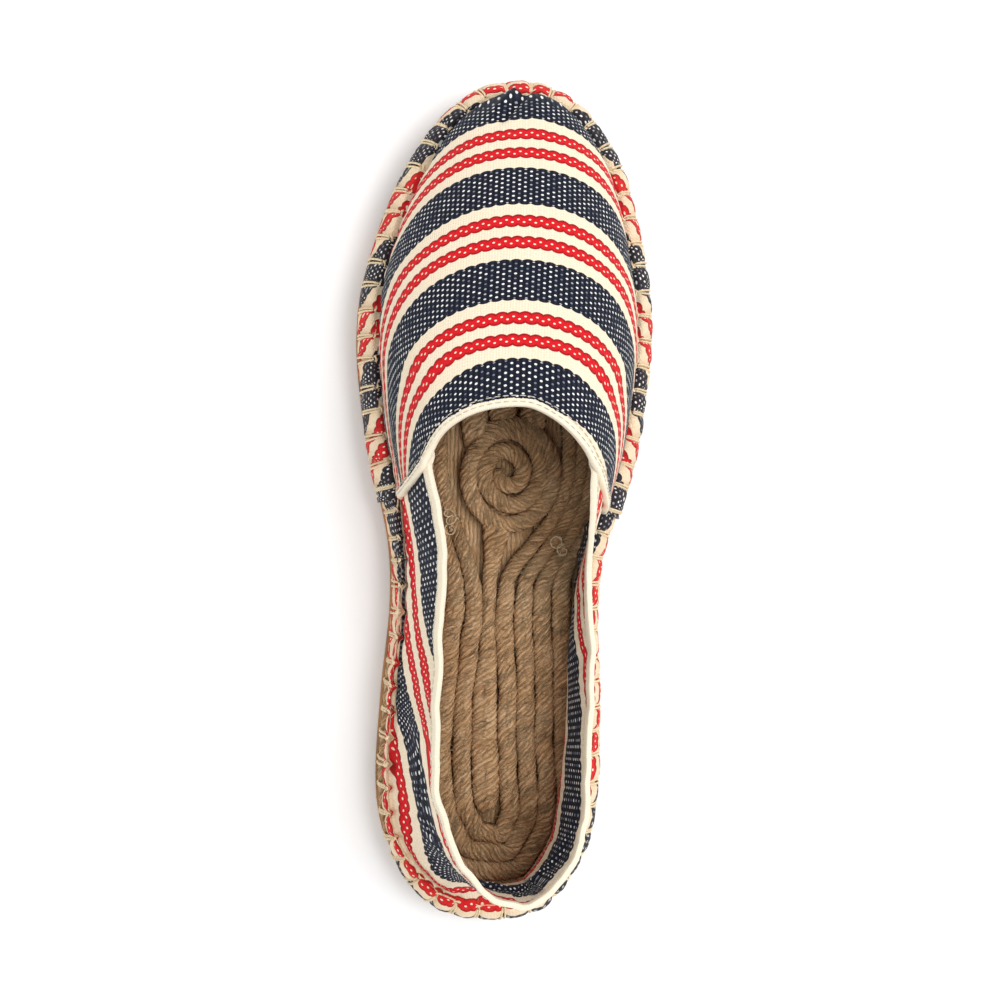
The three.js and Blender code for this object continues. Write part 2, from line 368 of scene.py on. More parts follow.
    def outline_point(self, turn: Array, inset: Array | float) -> Array:
        """Point of the outline moved in along its normal.

        Args:
            turn: turns from the heel, in radians.
            inset: distance in, in millimetres.

        Returns:
            Points seen from above.
        """
        turn = np.asarray(turn, float)
        base = np.stack([self.outline_x(turn), self.half * np.cos(turn)], axis=-1)
        return base - self.outline_normal(turn) * np.asarray(inset, float)[..., None]

    def lift(self, y: Array) -> Array:
        """How far the sole is off the floor: toe spring and arch.

        Args:
            y: stations along.

        Returns:
            Heights to add.
        """
        spring = np.maximum(0, (-y - 0.22 * self.length) / (self.half - 0.22 * self.length))
        arch = smoothstep(y, -25, 10) * (1 - smoothstep(y, 15, 50))
        return self.toe_spring * spring**1.8 + self.arch_rise * arch

    def crease_x(self, y: Array, side: Side) -> Array:
        """Where the crease lies across the shoe at a station y."""
        return np.interp(y, *self._crease[side])

    def rim_x(self, y: Array) -> tuple[Array, Array]:
        """Where the outline lies across the shoe at a station y, outside and inside."""
        turn = np.arccos(y / self.half)
        return self.outline_x(turn), self.outline_x(-turn)

    def run_way(self, turn: Array) -> Array:
        """Level direction along the outline, on towards larger turns on the inside."""
        outward = self.outline_normal(turn)
        return np.stack([outward[..., 1], -outward[..., 0], 0 * turn], axis=-1)

    def middle_x(self, y: Array) -> Array:
        """Middle line of the foot."""
        return self.toe_x * smoothstep(-np.asarray(y), 20, self.half)

    def dome(self, x: Array, y: Array) -> Array:
        """Height of the vamp above the crease, at a point seen from above.

        Args:
            x: places across.
            y: stations along.

        Returns:
            The heights.
        """
        middle = self.middle_x(y)
        edge = np.where(x < middle, self.crease_x(y, Side.INSIDE), self.crease_x(y, Side.OUTSIDE))
        across = np.minimum(1, np.abs(x - middle) / np.maximum(np.abs(edge - middle), 0.001))
        ridge = self._ridge(y - self.toe_crease)
        return ridge * (1 - across**self.section_power) ** self.section_root

    def ridge_arc(self, y: Array) -> Array:
        """Length along the ridge from the toe's crease to a station y."""
        return np.interp(y, *self._ridge_arc)

    def section_arc(self, x: Array, y: Array) -> Array:
        """Length across the vamp from its ridge to a point, positive on the outside.

        Args:
            x: places across.
            y: stations along.

        Returns:
            The lengths.
        """
        middle = self.middle_x(y)
        row = np.clip((y - self._rows[0]) / (self._rows[1] - self._rows[0]), 0, len(self._rows) - 1.001)
        low = row.astype(int)
        part = row - low
        made = np.zeros_like(x)
        for side in Side:
            edge = self.crease_x(y, side)
            share = np.clip((x - middle) / np.where(edge == middle, 1, edge - middle), 0, 1)
            column = np.interp(share, self._shares, np.arange(len(self._shares)))
            left = np.minimum(column.astype(int), len(self._shares) - 2)
            mix = column - left
            table = self._across[side]
            near = table[low, left] * (1 - mix) + table[low, left + 1] * mix
            far = table[low + 1, left] * (1 - mix) + table[low + 1, left + 1] * mix
            mine = (x - middle) * side.value > 0
            made = np.where(mine, side.value * (near * (1 - part) + far * part), made)
        return made

    def collar_point(self, turn: Array) -> Array:
        """End of the quarter's rib: across, along and height above the crease."""
        return np.stack([self._collar[i](turn) for i in range(3)], axis=-1)

    def tuck(self, turn: Array) -> Array:
        """How far the lower part of the quarter's wall is drawn in."""
        return self._collar[3](turn)

    def throat_point(self, share: Array) -> Array:
        """Throat's edge from the outside crossing (0) to the inside crossing (1).

        Args:
            share: shares of the way.

        Returns:
            Places across, along and above the crease.
        """
        inside = share > 0.5
        outer, inner = self.collar_point(self.outside_ear), self.collar_point(self.inside_ear)
        foot_x, foot_y = np.where(inside, inner[0], outer[0]), np.where(inside, inner[1], outer[1])
        power = np.where(inside, 1.5, 2.1)
        angle = np.where(inside, 1 - share, share) * math.pi
        cos, sin = np.maximum(np.cos(angle), 0), np.sin(angle)
        x = self.throat_middle + (foot_x - self.throat_middle) * cos ** (2 / power)
        y = foot_y + (self.throat_front - foot_y) * sin ** (2 / power)
        return np.stack([x, y, self.dome(x, y)], axis=-1)


# --- Meshes ---


def quads(number: Array) -> Array:
    """Faces between the neighbours of a grid of vertex numbers."""
    corners = number[:-1, :-1], number[1:, :-1], number[1:, 1:], number[:-1, 1:]
    return np.stack(corners, axis=-1).reshape(-1, 4)


@dataclass
class Patch:
    """Vertices, faces and per-vertex values gathered for one mesh."""

    points: list[Array] = field(default_factory=list)
    faces: list[Array] = field(default_factory=list)
    uvs: list[Array] = field(default_factory=list)
    marks: list[Array] = field(default_factory=list)
    count: int = 0

    def add(self, points: Array, faces: Array, uv: Array, mark: Array | None = None) -> None:
        """Adds a piece of mesh.

        Args:
            points: (n, 3) in millimetres.
            faces: (k, 4) corner numbers.
            uv: (n, 2) cloth or fibre coordinates in millimetres.
            mark: (n,) tan staining on the canvas, painted shade in the jute's valleys and in the canvas
                crease, from 0 to 1.
        """
        points = points.reshape(-1, 3)
        self.points.append(points)
        self.faces.append(np.asarray(faces, int).reshape(-1, 4) + self.count)
        self.uvs.append(uv.reshape(-1, 2))
        self.marks.append(np.zeros(len(points)) if mark is None else mark.reshape(-1))
        self.count += len(points)

    def add_grid(self, points: Array, uv: Array, mark: Array | None = None, wrap: bool = False) -> None:
        """Adds a grid of rows and columns.

        Args:
            points: (rows, columns, 3).
            uv: (rows, columns, 2).
            mark: (rows, columns) or None.
            wrap: the last column joins the first.
        """
        rows, columns = points.shape[:2]
        number = np.arange(rows * columns).reshape(rows, columns)
        if wrap:
            number = np.concatenate([number, number[:, :1]], axis=1)
        self.add(points, quads(number), uv, mark)

    def build(self, name: str, material: bpy.types.Material, slot: Slot, map_name: str) -> bpy.types.Object:
        """Makes the Blender object and rides it on the shoe.

        Args:
            name: piece name.
            material: its finish.
            slot: not used.
            map_name: name of the coordinate map that the finish reads.

        Returns:
            The new object.
        """
        points, corners = np.concatenate(self.points), np.concatenate(self.faces).reshape(-1)
        uv, mark = np.concatenate(self.uvs), np.concatenate(self.marks)
        starts = np.arange(0, len(corners), 4, dtype=np.int32)
        mesh = bpy.data.meshes.new(name)
        mesh.vertices.add(len(points))
        mesh.vertices.foreach_set("co", (points * MM).astype(np.float32).reshape(-1))
        mesh.loops.add(len(corners))
        mesh.loops.foreach_set("vertex_index", corners.astype(np.int32))
        mesh.polygons.add(len(starts))
        mesh.polygons.foreach_set("loop_start", starts)
        mesh.polygons.foreach_set("use_smooth", np.ones(len(starts), bool))
        mesh.update(calc_edges=True)
        layer = mesh.uv_layers.new(name=map_name)
        layer.data.foreach_set("uv", uv[corners].astype(np.float32).reshape(-1))
        shade = mesh.attributes.new("mark", "FLOAT", "POINT")
        shade.data.foreach_set("value", mark.astype(np.float32))
        mesh.materials.append(material)
        mesh.validate()
        made = bpy.data.objects.new(name, mesh)
        bpy.context.scene.collection.objects.link(made)
        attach(made, "root")
        LOG.info("%s: %d vertices, %d faces", name, len(points), len(starts))
        return made


def grid_normals(grid: Array, wrap: bool = False) -> Array:
    """Normals of a grid of points, from its rows and columns.

    Args:
        grid: (rows, columns, 3).
        wrap: the last column joins the first.

    Returns:
        Unit normals, on the side of rise times run.
    """
    rise = np.gradient(grid, axis=0)
    if wrap:
        run = (np.roll(grid, -1, axis=1) - np.roll(grid, 1, axis=1)) / 2
    else:
        run = np.gradient(grid, axis=1)
    return unit(np.cross(rise, run))


def tube_grid(paths: Array, ups: Array, radius: Array, sides: int) -> Array:
    """Round tubes along many lines of the same number of points.

    Args:
        paths: (k, n, 3) centre lines.
        ups: (k, n, 3) or broadcastable, a direction off each line.
        radius: broadcastable to (k, n, sides).
        sides: corners of a section.

    Returns:
        (k, n, sides, 3) points.
    """
    tangent = unit(np.gradient(paths, axis=1))
    across = unit(np.cross(np.broadcast_to(ups, paths.shape), tangent))
    lift = np.cross(tangent, across)
    angle = np.arange(sides) * FULL_TURN / sides
    sin, cos = np.sin(angle)[:, None], np.cos(angle)[:, None]
    ring = across[:, :, None] * sin + lift[:, :, None] * cos
    return paths[:, :, None, :] + ring * np.broadcast_to(radius, ring.shape[:3])[..., None]


def add_tubes(patch: Patch, paths: Array, ups: Array, radius: Array, sides: int) -> None:
    """Adds closed tubes, tapered to a point at both ends.

    Args:
        patch: where they go.
        paths: (k, n, 3) centre lines.
        ups: directions off the lines.
        radius: broadcastable to (k, n, 1).
        sides: corners of a section.
    """
    full = np.broadcast_to(radius, (*paths.shape[:2], 1)).copy()
    full[:, (0, -1)] *= 0.25
    grids = tube_grid(paths, ups, full, sides)
    around = np.broadcast_to(np.arange(sides) / sides, grids.shape[1:3])
    for grid, path in zip(grids, paths):
        along = np.broadcast_to(arc_along(path)[:, None], around.shape)
        patch.add_grid(grid, np.stack([around, along], axis=-1), wrap=True)


def add_sheet(patch: Patch, outer: Array, inner: Array, uv: Array, mark: Array) -> None:
    """Adds a cloth with two faces, closed round all its edges.

    Args:
        patch: where it goes.
        outer: (rows, columns, 3) outer face.
        inner: the inner face, laid out the same way.
        uv: (rows, columns, 2) cloth coordinates of both.
        mark: (rows, columns) stains and painted crease shade of both.
    """
    rows, columns = outer.shape[:2]
    points = np.concatenate([outer, inner[::-1]])
    number = np.arange(2 * rows * columns).reshape(2 * rows, columns)
    loop = np.concatenate([number, number[:1]])
    front, back = number[:rows], number[rows:][::-1]
    first = np.stack([front[:-1, 0], back[:-1, 0], back[1:, 0], front[1:, 0]], axis=-1)
    last = np.stack([front[:-1, -1], front[1:, -1], back[1:, -1], back[:-1, -1]], axis=-1)
    both = np.concatenate([uv, uv[::-1]])
    patch.add(points, np.concatenate([quads(loop), first, last]), both, np.concatenate([mark, mark[::-1]]))


# --- Upper ---


@dataclass(frozen=True)
class Fold:
    """A soft trough with a ridge beside it, from one point to another seen from above."""

    start: tuple[float, float]
    end: tuple[float, float]
    width: float
    depth: float
    ridge: float = 0.0

    def height(self, x: Array, y: Array) -> Array:
        """How far the fold moves the cloth out at each point.

        Args:
            x: places across.
            y: stations along.

        Returns:
            Distances out.
        """
        a, b = np.array(self.start), np.array(self.end)
        run = b - a
        length = float(np.hypot(*run))
        along = ((x - a[0]) * run[0] + (y - a[1]) * run[1]) / length
        beside = ((x - a[0]) * run[1] - (y - a[1]) * run[0]) / length
        fade = np.exp(-(np.maximum(0, np.abs(along - length / 2) - length / 3) / (length / 3 + 0.5)) ** 2)
        trough = -self.depth * bell(beside, self.width)
        bank = self.ridge * np.exp(-(((beside - 1.7 * self.width) / (1.1 * self.width)) ** 2))
        return (trough + bank) * fade


@dataclass
class StitchPlan:
    """Where the blanket stitches stand round the edge."""

    shape: LastShape
    count: int = 76
    inset: float = 3.5
    jitter: float = 0.55

    def __post_init__(self) -> None:
        """Measures the girth and places the stitches."""
        turns = np.linspace(0, FULL_TURN, 2881)
        line = self.shape.outline_point(turns, self.inset)
        self._turns, self._girths = turns, arc_along(line)
        self.girth = float(self._girths[-1])
        self.pitch = self.girth / self.count
        rng = np.random.default_rng(41)
        even = (np.arange(self.count) + 0.5) * self.pitch
        self.places = even + rng.uniform(-1, 1, self.count) * self.jitter

    def girth_at(self, turn: Array) -> Array:
        """Length round the edge at a turn."""
        return np.interp(np.mod(turn, FULL_TURN), self._turns, self._girths)

    def turn_at(self, girth: Array) -> Array:
        """Turn at a length round the edge."""
        return np.interp(np.mod(girth, self.girth), self._girths, self._turns)

    def columns(self, first: float, last: float) -> Array:
        """Turns for a cloth's columns, close together at each stitch.

        Args:
            first: turn of the first column, from half a turn before the heel.
            last: turn of the last column, larger than the first.

        Returns:
            Rising turns.
        """
        laps = [math.floor(turn / FULL_TURN) for turn in (first, last)]
        low, high = (float(self.girth_at(turn)) + lap * self.girth for turn, lap in zip((first, last), laps))
        places = np.concatenate([self.places - self.girth, self.places, self.places + self.girth])
        close = np.array((-2.3, -1.25, -0.55, 0.0, 0.55, 1.25, 2.3))
        girths = np.concatenate([(places[:, None] + close).reshape(-1), (places[1:] + places[:-1]) / 2])
        girths = np.sort(girths)
        girths = np.concatenate([[low], girths[(girths > low + 0.3) & (girths < high - 0.3)], [high]])
        return self.turn_at(girths) + np.floor(girths / self.girth) * FULL_TURN

    def offset(self, turn: Array) -> Array:
        """Distance to the nearest stitch, along the edge.

        Args:
            turn: turns from the heel.

        Returns:
            The distances.
        """
        girth = self.girth_at(turn)
        places = np.concatenate([[self.places[-1] - self.girth], self.places, [self.places[0] + self.girth]])
        right = np.clip(np.searchsorted(places, girth), 1, len(places) - 1)
        return np.minimum(np.abs(girth - places[right - 1]), np.abs(places[right] - girth))


@dataclass
class UpperShape:
    """Outer faces of the vamp and the quarter, with their puffs, puckers and folds."""

    shape: LastShape
    stitches: StitchPlan
    cloth: float = 1.1
    puff: float = 0.8
    bite: float = 0.85
    crease_drop: float = 1.1
    near_ribs: float = 5 / 51
    quarter_near: float = 5 / 43
    toe_draw: float = 1.7
    toe_draw_reach: float = 0.55
    side_draw: float = 1.0
    short_skirt: float = 0.4
    # Degrees of turn; extra draw of the quarter's lower part.
    sag: Pairs = (
        (-88, 0), (-68, 1.8), (-48, 2.6), (-25, 1.5), (0, 0), (22, 0.2), (42, 0.4), (62, 0.3),
        (80, 0),
    )
    tongue: float = 0.06
    tongue_reach: float = 5.0
    # Degrees of turn; how far out the crease lies from its usual place.
    crease_push: Pairs = (
        (22, 0), (34, 1.4), (50, 2.4), (62, 3.0), (76, 3.2), (83, 2.6), (89, 1.0), (92, 0),
    )
    vamp_folds: tuple[Fold, ...] = (
        Fold((-0.5, -122.5), (6.0, -114.0), 1.4, 2.2, 1.5),
        Fold((8.0, -122.0), (13.0, -117.0), 1.6, 0.35, 0.3),
        Fold((29.0, -22.0), (35.0, -44.0), 2.6, 0.55, 0.3),
        Fold((-26.0, -24.0), (-35.0, -40.0), 2.8, 0.45, 0.3),
        Fold((-20.0, -30.0), (-31.0, -52.0), 4.0, 0.4, 0.2),
        Fold((14.0, -78.0), (30.0, -70.0), 5.0, 0.35, 0.0),
        Fold((-12.0, -96.0), (-27.0, -86.0), 4.0, 0.3, 0.0),
    )

    def __post_init__(self) -> None:
        """Builds the curve of the skirt."""
        rows = np.array(self.shape.skirt[::-1])
        arc = arc_along(rows)
        self._inset, self._height = SmoothCurve(arc, rows[:, 0]), SmoothCurve(arc, rows[:, 1])
        self.skirt_length = float(arc[-1])

    def draw_in(self, turn: Array) -> Array:
        """How far the sewing draws the whole edge in, most at the toe."""
        toe = np.exp(-(((np.mod(turn, FULL_TURN) - math.pi) / self.toe_draw_reach) ** 2))
        return self.toe_draw * toe

    def skirt_points(self, turn: Array, down: Array) -> Array:
        """Smooth shoulder of the skirt, before puffs.

        Args:
            turn: turns from the heel.
            down: distances out from the crease over the shoulder.

        Returns:
            Points, broadcast from both.
        """
        turn, down = np.broadcast_arrays(turn, down)
        outside = np.clip(self.shape.outline_normal(turn)[..., 0], 0, 1) * smoothstep(down, 1, 6)
        inset = self._inset(down) + self.draw_in(turn) + self.side_draw * outside
        inset = inset - self.push(turn) * (1 - smoothstep(down, 0, 8))
        plan = self.shape.outline_point(turn, inset)
        z = self._height(down) + self.shape.lift(plan[..., 1])
        return np.concatenate([plan, z[..., None]], axis=-1)

    def wall_points(self, turn: Array, end: Array, quarter: Array, tuck: Array, share: Array) -> Array:
        """Wall between the crease and the edge.

        Args:
            turn: (columns,) turns.
            end: (columns, 3) ends of the ribs.
            quarter: (columns,) how far each rib is quarter rather than vamp.
            tuck: (columns,) draw of the lower part.
            share: (rows,) from 0 at the crease to 1 at the edge.

        Returns:
            (rows, columns, 3) points.
        """
        shape = self.shape
        foot = shape.outline_point(turn, shape.crease_inset + self.draw_in(turn) - self.push(turn))
        inward = -shape.outline_normal(turn)
        s = share[:, None]
        along = (1 - np.cos(s * math.pi / 2)) * (1 - quarter) + s**1.25 * quarter
        plan = foot + (end[:, :2] - foot) * along[..., None]
        plan = plan + inward * (tuck * np.sin(math.pi * s**shape.tuck_power))[..., None]
        dome = shape.dome(plan[..., 0], plan[..., 1])
        height = dome * (1 - quarter) + end[:, 2] * s * quarter
        z = shape.crease_height + shape.lift(plan[..., 1]) + height
        return np.concatenate([plan, z[..., None]], axis=-1)

    def push(self, turn: Array) -> Array:
        """How far out the crease lies from its usual place."""
        degrees = np.degrees(np.mod(turn + math.pi, FULL_TURN) - math.pi)
        return np.interp(degrees, *zip(*self.crease_push))

    def heel_gap(self, turn: Array) -> Array:
        """Where the jute shows below the skirt: 1 at the outside of the heel, 0 elsewhere."""
        degrees = np.degrees(np.mod(turn + math.pi, FULL_TURN) - math.pi)
        return smoothstep(degrees, 22, 38) * (1 - smoothstep(degrees, 62, 76))

    def skirt_downs(self, turn: Array, rows: int) -> Array:
        """Distances out from the crease of the skirt's rows, shorter at the outside of the heel.

        Args:
            turn: turns from the heel.
            rows: how many rows.

        Returns:
            A row of distances for each, the lowest first.
        """
        share = np.linspace(1, 0, rows)[:, None]
        reach = 1 - (1 - self.short_skirt) * self.heel_gap(turn)
        reach = reach * (1 + 0.05 * ripple(self.stitches.girth_at(turn), 15, 15.0))
        return share * np.minimum(reach, 1)[None, :] * self.skirt_length

    def edge_detail(self, turn: Array, down: Array, up: Array) -> Array:
        """Height of puffs, bites and the crease over the plain surface.

        Args:
            turn: (columns,) or (rows, columns) turns.
            down: (rows, 1) or (rows, columns) distance out from the crease, 0 on the wall.
            up: (rows, columns) distance up the wall, 0 on the skirt.

        Returns:
            (rows, columns) heights along the normal.
        """
        off = self.stitches.offset(turn)
        girth = self.stitches.girth_at(turn)
        swell = np.clip(off / (self.stitches.pitch / 2), 0, 1)
        puff = (1 - (1 - swell) ** 2.2) * (1 + 0.35 * ripple(girth, 5, 37.0))
        bite = bell(off, 0.95) * (1 - 0.4 * smoothstep(down, 5, 11))
        on_ring = smoothstep(down, 0.0, 3.0) * (1 - smoothstep(down, 7.0, 13.0))
        height = on_ring * self.puff * (puff - 0.65) - smoothstep(down, 0.0, 2.5) * self.bite * bite
        height = height + 0.22 * ripple(girth + 2.5 * down, 9, 11.0) * smoothstep(down, 0.5, 4)
        groove = self.crease_drop * (1 + 0.3 * ripple(girth, 12, 23.0))
        height = height - groove * bell(down, 1.1) * bell(up, 1.3)
        pucker = 0.65 * bite * bell(up, 2.3) * bell(down, 2.0)
        fan = 0.16 * np.cos(FULL_TURN * off / self.stitches.pitch) * np.exp(-((up - 2.5) / 3.0) ** 2)
        return height - pucker - fan * (down <= 0)

    def vamp_face(self, skirt_rows: int, wall_rows: int) -> tuple[Array, Array, Array, Array]:
        """Outer face of the vamp.

        Args:
            skirt_rows: rows from the lower edge to the crease.
            wall_rows: rows from the crease to the throat.

        Returns:
            Points (rows, columns, 3), their normals, the turns, and the distances out of the crease.
        """
        shape = self.shape
        turn = self.stitches.columns(shape.outside_ear, FULL_TURN + shape.inside_ear)
        share = (turn - turn[0]) / (turn[-1] - turn[0])
        near = 1 - smoothstep(np.minimum(share, 1 - share), 0, self.near_ribs)
        down = self.skirt_downs(turn, skirt_rows)
        skirt = self.skirt_points(turn[None, :], down)
        rise = np.linspace(0, 1, wall_rows + 1)[1:]
        wall = self.wall_points(turn, shape.throat_point(share), near / 2, 0 * turn, rise)
        grid = np.concatenate([skirt, wall])
        out = np.concatenate([down, np.zeros((wall_rows, len(turn)))])
        normals = grid_normals(grid)
        grid = grid + normals * (shape.lap * near)[None, :, None]
        height = self.edge_detail(turn, out, self.rise_along(grid, skirt_rows))
        lower = smoothstep(self.rise_along(grid, skirt_rows), 0.2, 1.5)
        for fold in self.vamp_folds:
            height = height + fold.height(grid[..., 0], grid[..., 1]) * lower
        slow = 0.22 * ripple(grid[..., 0] + 0.4 * grid[..., 1], 31, 58.0)
        slow = slow + 0.2 * ripple(grid[..., 1] - 0.3 * grid[..., 0], 32, 44.0)
        height = height + slow * lower
        return grid + normals * height[..., None], normals, turn, out

    @staticmethod
    def rise_along(grid: Array, skirt_rows: int) -> Array:
        """Distance up each rib from the crease, 0 on the skirt.

        Args:
            grid: a face of the upper.
            skirt_rows: how many of its rows are the skirt's.

        Returns:
            A distance for each point.
        """
        steps = np.linalg.norm(np.diff(grid, axis=0), axis=2)
        steps[: skirt_rows - 1] = 0
        return np.concatenate([np.zeros((1, grid.shape[1])), np.cumsum(steps, axis=0)])

    def quarter_face(self, skirt_rows: int, wall_rows: int) -> tuple[Array, Array, Array, Array]:
        """Outer face of the quarter, with tongues that run on under the vamp's ears.

        Args:
            skirt_rows: rows from the lower edge to the crease.
            wall_rows: rows from the crease to the collar.

        Returns:
            Points (rows, columns, 3), their normals, the turns, and the distances out of the crease.
        """
        shape = self.shape
        turn = self.stitches.columns(shape.inside_ear - self.tongue, shape.outside_ear + self.tongue)
        kept = np.clip(turn, shape.inside_ear, shape.outside_ear)
        past = np.abs(turn - kept) / self.tongue
        part = (kept - shape.inside_ear) / (shape.outside_ear - shape.inside_ear)
        near = 1 - smoothstep(np.minimum(part, 1 - part), 0, self.quarter_near)
        end = shape.collar_point(kept)
        ear = np.where(turn < 0, shape.inside_ear, shape.outside_ear)
        crossing = shape.collar_point(ear)
        meet = shape.dome(crossing[:, 0], crossing[:, 1]) - crossing[:, 2]
        end[:, 2] += near * meet
        end[:, 1] -= past * self.tongue_reach
        end[:, 0] += np.sign(turn) * past * 1.5
        forward = shape.dome(end[:, 0], end[:, 1])
        end[:, 2] = np.where(past > 0, forward, end[:, 2])
        down = self.skirt_downs(turn, skirt_rows)
        skirt = self.skirt_points(turn[None, :], down)
        rise = np.linspace(0, 1, wall_rows + 1)[1:]
        tuck = shape.tuck(kept) + np.interp(np.degrees(kept), *zip(*self.sag))
        wall = self.wall_points(turn, end, 1 - near / 2, tuck, rise)
        grid = np.concatenate([skirt, wall])
        normals = grid_normals(grid)
        out = np.concatenate([down, np.zeros((wall_rows, len(turn)))])
        up = self.rise_along(grid, skirt_rows)
        height = self.edge_detail(turn, out, up)
        height = height - 1.9 * smoothstep(past, 0.0, 0.5)[None, :]
        share = up / np.maximum(up[-1], 1)
        girth = self.stitches.girth_at(turn)[None, :]
        height = height + 0.55 * ripple(girth, 21, 47.0) * smoothstep(share, 0.3, 1.0)
        height = height + 0.3 * ripple(girth + 0.8 * up, 22, 19.0) * smoothstep(share, 0.15, 0.6)
        bend = self.fold_height(turn)[None, :]
        strength = self.fold_strength(turn)[None, :]
        height = height - 1.1 * strength * bell(up - bend, 1.4)
        height = height + 0.8 * strength * bell(up - bend - 3.2, 2.2)
        return grid + normals * height[..., None], normals, turn, out

    @staticmethod
    def fold_height(turn: Array) -> Array:
        """How far up the wall the heel's fold lies."""
        return np.interp(np.degrees(turn), (-60, -44, -20, 0, 25, 46, 62), (30, 30, 28, 26, 20, 17.5, 17))

    @staticmethod
    def fold_strength(turn: Array) -> Array:
        """How sharp the heel's fold is."""
        return np.interp(np.degrees(turn), (-52, -30, 0, 30, 48, 62), (0, 0.7, 0.9, 1.0, 1.0, 0))


@dataclass
class Upper:
    """Vamp and quarter of striped canvas."""

    faces: UpperShape
    canvas: bpy.types.Material
    vamp_rows: int = 96
    quarter_rows: int = 44
    skirt_rows: int = 20
    navy_middle: float = -63.6
    peak: float = 2.0
    # Length from the toe's crease; how strongly the stripes bow there.
    bow: Pairs = ((0, 0.0115), (70, 0.0100), (95, 0.0122), (125, 0.0168))
    lean: float = 0.945
    toe_draw_from: float = -60.0
    toe_draw: float = 0.25
    ring_middle: float = 4.0
    # Degrees of turn; the cloth's height at the middle of the ring.
    toe_cloth: Pairs = (
        (80, 41), (90, 29.4), (93.5, 22), (95.4, 18), (97.8, 11.4), (104.9, 0), (111.3, -11.4),
        (115.2, -18), (122.2, -29.4), (131.3, -40.8), (136.4, -47.4), (148.2, -58.8),
        (158.3, -64.8), (168, -69.5), (180, -71), (190, -69.5), (199.9, -64.8), (208.8, -58.8),
        (221.1, -47.4), (226.7, -40.8), (236, -29.4), (243.4, -18), (247.4, -11.4), (254.8, 0),
        (261.6, 11.4), (264.3, 18), (270, 29.4), (280, 44),
    )
    # Degrees of turn; the cloth's height at the crease and at the collar.
    wall_cloth: tuple[tuple[float, float, float], ...] = (
        (-97, 2, 26),
        (-86, -2, 24),
        (-74.4, -11, 19),
        (-70, -15, 15.5),
        (-62.6, -19, 12),
        (-53.4, -22, 9.5),
        (-46, -24, 9),
        (-37.5, -25, 9),
        (-28, -25.5, 10),
        (-14, -25.5, 11),
        (0, -20, 14),
        (20, -8.5, 17.5),
        (29, -9.5, 17),
        (37.5, -13.5, 15.5),
        (47.2, -15, 13.5),
        (56.5, -11, 15.2),
        (62.6, -2, 20.5),
        (68.7, 5, 24.5),
        (73, 8.6, 29.5),
        (80, 12.7, 34),
        (86, 14.5, 34.5),
        (97, 14.5, 34.5),
    )
    # Degrees of turn; the cloth's height at the middle of the ring.
    ring_cloth: Pairs = (
        (-97, 2), (-90, -1), (-87, -4.5), (-84, -7.5), (-80, -9), (-74, -11.4), (-63, -12.5),
        (-55, -17.5), (-45, -20.5), (-38, -23), (-28, -24), (-12, -22.5), (0, -21), (15, -20),
        (30, -19.2), (47, -18), (56.5, -15), (63, -12.5), (68, -11.4), (73.8, -10.5), (77, -8.5),
        (80, -5.5), (82.5, -1), (90, 0), (97, 3),
    )
    # Across and along the vamp; size; strength.
    scuffs: tuple[tuple[float, float, float, float], ...] = (
        (1.5, 15.5, 3.0, 0.85),
        (-3.5, 19.6, 1.8, 0.6),
        (3.0, 21.5, 1.6, 0.35),
    )

    def build(self) -> dict[str, tuple[Array, Array]]:
        """Makes both pieces.

        Returns:
            For each piece the outer face and its normals, for the tapes.
        """
        return {"vamp": self._vamp(), "quarter": self._quarter()}

    def _stain_and_crease_shade(self, turn: Array, out: Array, up: Array) -> Array:
        """Tan staining of the edge, strongest at the stitches, with painted shade in the crease.

        Args:
            turn: turns from the heel.
            out: distances out of the crease.
            up: distances up the wall.

        Returns:
            Stains and painted crease shade, from 0 to 1.
        """
        off = self.faces.stitches.offset(turn)[None, :]
        ring = smoothstep(out, 0.2, 2.0) * 0.55 + 0.3 * smoothstep(out, 6, 11)
        bitten = 0.5 * bell(off, 1.0) * bell(up, 1.5)
        # painted shade along the crease, where the wall folds down into the skirt
        crease = 0.55 * bell(out, 0.8) * bell(up, 1.0)
        return np.clip(ring + bitten + crease, 0, 1)

    def _vamp(self) -> tuple[Array, Array]:
        """Vamp, its skirt and its ears.

        Returns:
            Its outer face and normals.
        """
        faces, shape = self.faces, self.faces.shape
        grid, normals, turn, out = faces.vamp_face(self.skirt_rows, self.vamp_rows)
        is_skirt = (np.arange(len(grid)) < self.skirt_rows)[:, None]
        crease = faces.skirt_points(turn, 0 * turn)
        x = np.where(is_skirt, crease[None, :, 0], grid[..., 0])
        y = np.where(is_skirt, crease[None, :, 1], grid[..., 1])
        outward = shape.outline_normal(turn)[None]
        p = shape.section_arc(x, y) + outward[..., 0] * out
        q = shape.ridge_arc(y) + outward[..., 1] * out
        p = self._lengthen(p, q, grid)
        bow = np.interp(q, *zip(*self.bow))
        v = q - bow * p**2
        u = p * (1 + (2 * bow * p) ** 2 / 6)
        v = v + self.peak * np.exp(-np.abs(p + 1.5) / 5.0) * (1 - smoothstep(q, 6, 34))
        v = v - float(shape.ridge_arc(self.navy_middle)) - 1.8 * smoothstep(y, -42, -30)
        v = v - (1 - self.toe_draw) * np.minimum(0, v - self.toe_draw_from)
        ring_u, ring_v = self._ring(self.toe_cloth, turn, out)
        u, v = np.where(is_skirt, ring_u, u), np.where(is_skirt, ring_v, v)
        up = faces.rise_along(grid, self.skirt_rows)
        mark = self._stain_and_crease_shade(turn, out, up)
        for scuff_p, scuff_q, size, strength in self.scuffs:
            near = np.exp(-(((p - scuff_p) / size) ** 2) - ((q - scuff_q) / (size * 0.45)) ** 2)
            mark = np.where(near * strength > 0.05, -near * strength, mark)
        patch = Patch()
        add_sheet(patch, grid, grid - normals * faces.cloth, np.stack([u, v], axis=-1), mark)
        made = patch.build("vamp", self.canvas, Slot.CANVAS, "cloth")
        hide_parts("upper")
        return grid, normals

